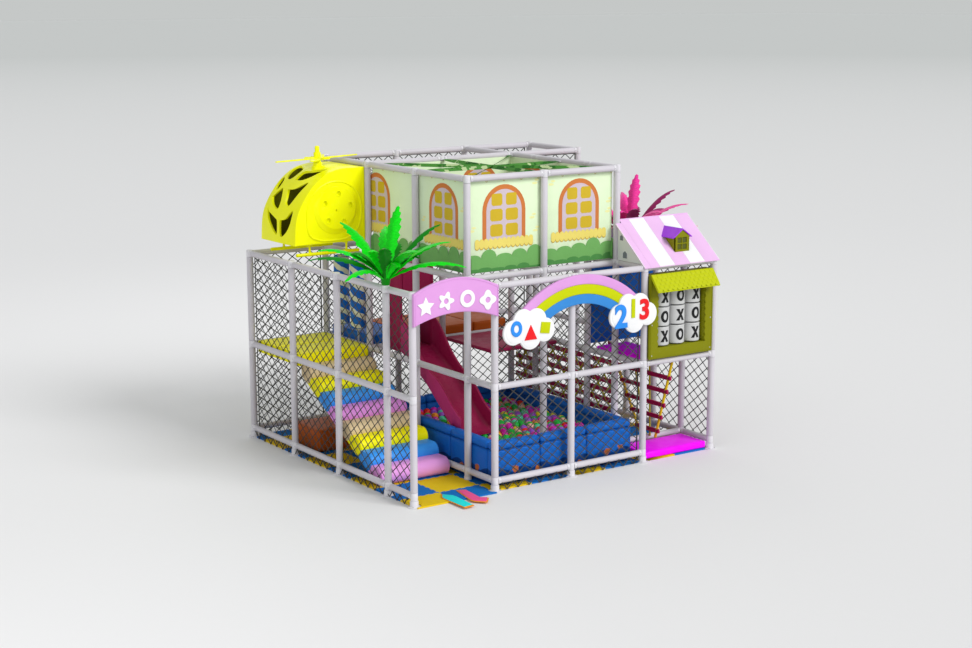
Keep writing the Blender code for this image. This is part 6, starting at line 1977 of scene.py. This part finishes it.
def build_palm(name, x, y, tint):
    """A bud on a post's top with an outer and an inner ring of leaves, kept within the piece's box."""
    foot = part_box(name)[0][2]
    lo, hi = corners(name)
    palm = bmesh.new()
    # The bud takes finish 1, the leaf colour darkened: painted shade under the leaves
    joined(palm, turned(BUD, (x, y, foot), 24), 1)
    inner = [(azimuth + 20, 0.46 + 0.12 * (azimuth % 3) / 2, 0.20 + 0.05 * (azimuth % 4))
             for azimuth in range(-30, 330, 45)]
    for index, (azimuth, reach, rise) in enumerate(LEAVES + inner):
        base = foot + 0.08 + 0.02 * (index % 3)
        blade = carried(leaf(reach, rise), placing((x, y, base), azimuth))
        heights = [vert.co.z - base for vert in blade.verts]
        above = min(1.0, (hi.z - base) / max(heights))
        below = min(1.0, (base - lo.z) / max(-min(heights), 0.001))
        for vert in blade.verts:
            lift = vert.co.z - base
            vert.co.z = base + lift * (above if lift > 0 else below)
        # Every third leaf takes finish 1, the darker leaf colour: painted shade
        joined(palm, blade, int(index % 3 == 1))
    ground = shade(tint)
    # Second finish: the leaf colour at 30 %, painted shade
    skins = [finish(f"{name}_leaf", ground, roughness=0.38, pattern=veined(ground, (x, y, foot)), relief=0.2,
                    coat=0.15),
             finish(f"{name}_dark", mixed(ground, 0.30), relief=0.2, coat=0.1)]
    add_piece(f"{name}_leaves", palm, skins, [name], sharp=50)


class PalmOperator(bpy.types.Operator):
    """Green and pink palms on post tops"""

    bl_idname = "playground.palms"
    bl_label = "Palms"

    def execute(self, context):
        build_palm("palm_green", COLUMNS[0], ROWS[1], "green")
        build_palm("palm_pink", COLUMNS[4], ROWS[2], "rose")
        return {"FINISHED"}


# Rope ladder and plank net: the ladder's place, ends and rungs, and the ropes' share across with their finish
LADDER_X = 4.2
LADDER_TOP = 1.3
LADDER_FOOT = 0.16
LADDER_TOP_ENDS = (0.11, 1.44)
LADDER_FOOT_ENDS = (0.44, 0.76)
# Inner ropes take finish 2, the darker olive rope: painted shade; the outer ropes take the yellow
LADDER_ROPES = ((0.0, 1), (0.36, 2), (0.64, 2), (1.0, 1))
RUNGS = (1.3092, 1.032, 0.834, 0.636, 0.456, 0.252)


def ladder_place(share, z):
    """Place on the ladder's plane: share of the way across, and height."""
    down = (LADDER_TOP - z) / (LADDER_TOP - LADDER_FOOT)
    first, last = (top + (foot - top) * down for top, foot in zip(LADDER_TOP_ENDS, LADDER_FOOT_ENDS))
    return Vector((LADDER_X, first + (last - first) * share, z))


def build_ladder():
    """Four ropes that run from the front rail down to the floor, with rungs clamped across."""
    lo, hi = corners("rope_ladder")
    ladder = bmesh.new()
    top, foot = LADDER_TOP, LADDER_FOOT
    for share, index in LADDER_ROPES:
        line = [ladder_place(share, top - (top - foot) * step / 8) for step in range(9)]
        joined(ladder, strand(line, 0.019 if index == 1 else 0.0125, 10), index)
        end = tube(ladder_place(share, foot + 0.02), ladder_place(share, foot - 0.005), 0.017, 12, 0.004)
        joined(ladder, end, index)
    for z in RUNGS:
        half, a, b = 0.0225, lo.y, hi.y
        if z < top:
            half = 0.030
            a = max(ladder_place(0.0, z).y - 0.05, lo.y)
            b = min(ladder_place(1.0, z).y + 0.05, hi.y)
        rung = block((LADDER_X - 0.018, a, z - half), (LADDER_X + 0.018, b, z + half), 0.009, 3)
        joined(ladder, rung, 0)
        for share, _ in LADDER_ROPES:
            spot, out = ladder_place(share, min(z, top)), Vector((0.0195, 0.0, 0.0))
            joined(ladder, tube(spot - out, spot + out, 0.009, 12, 0.002), 3)
    add_piece("rope_ladder_rungs", ladder, ["plank_maroon", "rope_yellow", "rope_olive", "cap_black"],
              ["rope_ladder"])


def build_planks():
    """Six rows of planks on crossed ropes, which end at the piece's edges."""
    lo, hi = corners("plank_net")
    net = bmesh.new()
    tops = [1.25 - 0.132 * step for step in range(6)]
    for top in tops:
        for part in range(3):
            a = lo.y + (hi.y - lo.y) * part / 3
            b = lo.y + (hi.y - lo.y) * (part + 1) / 3
            plank = block((lo.x + 0.001, a + 0.001, top - 0.07), (hi.x - 0.001, b - 0.001, top), 0.006, 3)
            joined(net, plank, 0)
    middle, spacing = (lo.x + hi.x) / 2, 0.26
    run = (tops[0] - lo.z) * 0.9
    for step in range(-3, int((hi.y - lo.y) / spacing) + 1):
        y0 = lo.y + 0.05 + step * spacing
        for below, above in ((y0, y0 + run), (y0 + run, y0)):
            start = Vector((middle, below, lo.z + 0.003))
            way = Vector((middle, above, tops[0] - 0.003)) - start
            cuts = sorted((edge - start.y) / way.y for edge in (lo.y + 0.008, hi.y - 0.008))
            first, last = max(0.0, cuts[0]), min(1.0, cuts[1])
            if last - first > 0.05:
                joined(net, tube(start + way * first, start + way * last, 0.0125, 10), 1)
    add_piece("plank_net_planks", net, ["plank_maroon", "rope_olive"], ["plank_net"])


class ClimbOperator(bpy.types.Operator):
    """Rope ladder with five rungs and the net of planks"""

    bl_idname = "playground.climbs"
    bl_label = "Ladder and plank net"

    def execute(self, context):
        build_ladder()
        build_planks()
        return {"FINISHED"}


# Stage
CAMERA_PLACE = (-10.782, -17.067, 6.133)
CAMERA_TURN = -34.7754
CAMERA_RAISE = 10.8403
CAMERA_ROLL = -0.1315
CAMERA_LENS = 63.75
FLOOR_NEAR = (0.80, 0.79, 0.80, 1.0)
FLOOR_FAR = (0.595, 0.605, 0.603, 1.0)
STAGE_MIDDLE = Vector((2.4, 2.1, 0.0))
# Lamps by name, kind, place, size and power
LAMPS = [("key", "SUN", (8.5, -13.0, 13.0), 0.45, 2.1), ("fill", "AREA", (-11.0, -6.0, 6.0), 8.0, 300.0),
         ("back", "AREA", (6.0, 13.0, 11.0), 8.0, 200.0)]


def linked(obj):
    """Put an object into the scene."""
    bpy.context.scene.collection.objects.link(obj)
    return obj


def aimed(place, way):
    """Place of a lamp or camera that looks along way."""
    return Matrix.Translation(place) @ way.to_track_quat("-Z", "Y").to_matrix().to_4x4()


def add_floor():
    """Wide floor that fades with distance."""
    floor = bmesh.new()
    bmesh.ops.create_grid(floor, x_segments=4, y_segments=4, size=400.0)
    mesh = bpy.data.meshes.new("floor")
    floor.to_mesh(mesh)
    floor.free()
    mesh.transform(Matrix.Translation(STAGE_MIDDLE - Vector((0.0, 0.0, 0.0008))))

    def faded(place):
        away = wired("ShaderNodeVectorMath", {"operation": "LENGTH"},
                     {0: moved_place(place, Vector() - STAGE_MIDDLE)})
        return blend_colour(ramp(away.outputs["Value"], 20.0, 160.0), FLOOR_NEAR, FLOOR_FAR)

    mesh.materials.append(finish("stage_floor", FLOOR_NEAR, roughness=0.6, mottle=0.0, creases=0.0,
                                 scuffs=0.0, relief=0.02, pattern=faded))
    linked(bpy.data.objects.new("stage_floor", mesh))


def add_lights():
    """Pale sky, a sun and two soft lamps aimed at the object's middle."""
    world = bpy.data.worlds.new("studio")
    world.use_nodes = True
    ground = world.node_tree.nodes["Background"]
    ground.inputs["Color"].default_value = (0.93, 0.96, 0.95, 1.0)
    ground.inputs["Strength"].default_value = 0.60
    bpy.context.scene.world = world
    middle = STAGE_MIDDLE + Vector((0.0, 0.0, 1.8))
    for name, kind, place, size, power in LAMPS:
        lamp = bpy.data.lights.new(name, kind)
        setattr(lamp, "angle" if kind == "SUN" else "size", size)
        lamp.energy = power
        linked(bpy.data.objects.new(name, lamp)).matrix_world = aimed(place, middle - Vector(place))


def add_camera():
    """Camera fitted to the photograph."""
    turn, rise = math.radians(CAMERA_TURN), math.radians(CAMERA_RAISE)
    back = Vector((math.sin(turn) * math.cos(rise), -math.cos(turn) * math.cos(rise), math.sin(rise)))
    lens = bpy.data.cameras.new("camera")
    lens.lens = CAMERA_LENS
    lens.sensor_width = 36.0
    lens.clip_end = 1000.0
    camera = linked(bpy.data.objects.new("camera", lens))
    camera.matrix_world = aimed(CAMERA_PLACE, -back) @ Matrix.Rotation(math.radians(CAMERA_ROLL), 4, "Z")
    bpy.context.scene.camera = camera
    bpy.context.scene.view_settings.view_transform = "Standard"


class StageOperator(bpy.types.Operator):
    """Pale floor, soft studio lights and the camera"""

    bl_idname = "playground.stage"
    bl_label = "Stage"

    def execute(self, context):
        add_floor()
        add_lights()
        add_camera()
        return {"FINISHED"}


OPERATORS = [FrameOperator, NetOperator, FloorOperator, StairOperator, DeckOperator, RollerOperator,
             SlideOperator, PitOperator, BoardOperator, HouseOperator, RoofOperator, GameOperator,
             HelicopterOperator, PalmOperator, ClimbOperator, StageOperator]


class PLAYGROUND_PT_panel(bpy.types.Panel):
    """Sizes, colours and one button for each group of pieces."""

    bl_label = "Playground"
    bl_space_type = "VIEW_3D"
    bl_region_type = "UI"
    bl_category = "Playground"

    def draw(self, context):
        for settings in (context.scene.playground_sizes, context.scene.playground_colours):
            column = self.layout.column(align=True)
            for name in settings.__annotations__:
                column.prop(settings, name)
        for operator in OPERATORS:
            self.layout.operator(operator.bl_idname)


CLASSES = [PlaygroundSizes, PlaygroundColours, *OPERATORS, PLAYGROUND_PT_panel]


def register():
    for item in CLASSES:
        bpy.utils.register_class(item)
    bpy.types.Scene.playground_sizes = PointerProperty(type=PlaygroundSizes)
    bpy.types.Scene.playground_colours = PointerProperty(type=PlaygroundColours)


def unregister():
    del bpy.types.Scene.playground_colours
    del bpy.types.Scene.playground_sizes
    for item in reversed(CLASSES):
        bpy.utils.unregister_class(item)


def main():
    register()
    for operator in OPERATORS:
        getattr(bpy.ops.playground, operator.bl_idname.split(".")[1])()


if __name__ == "__main__":
    main()
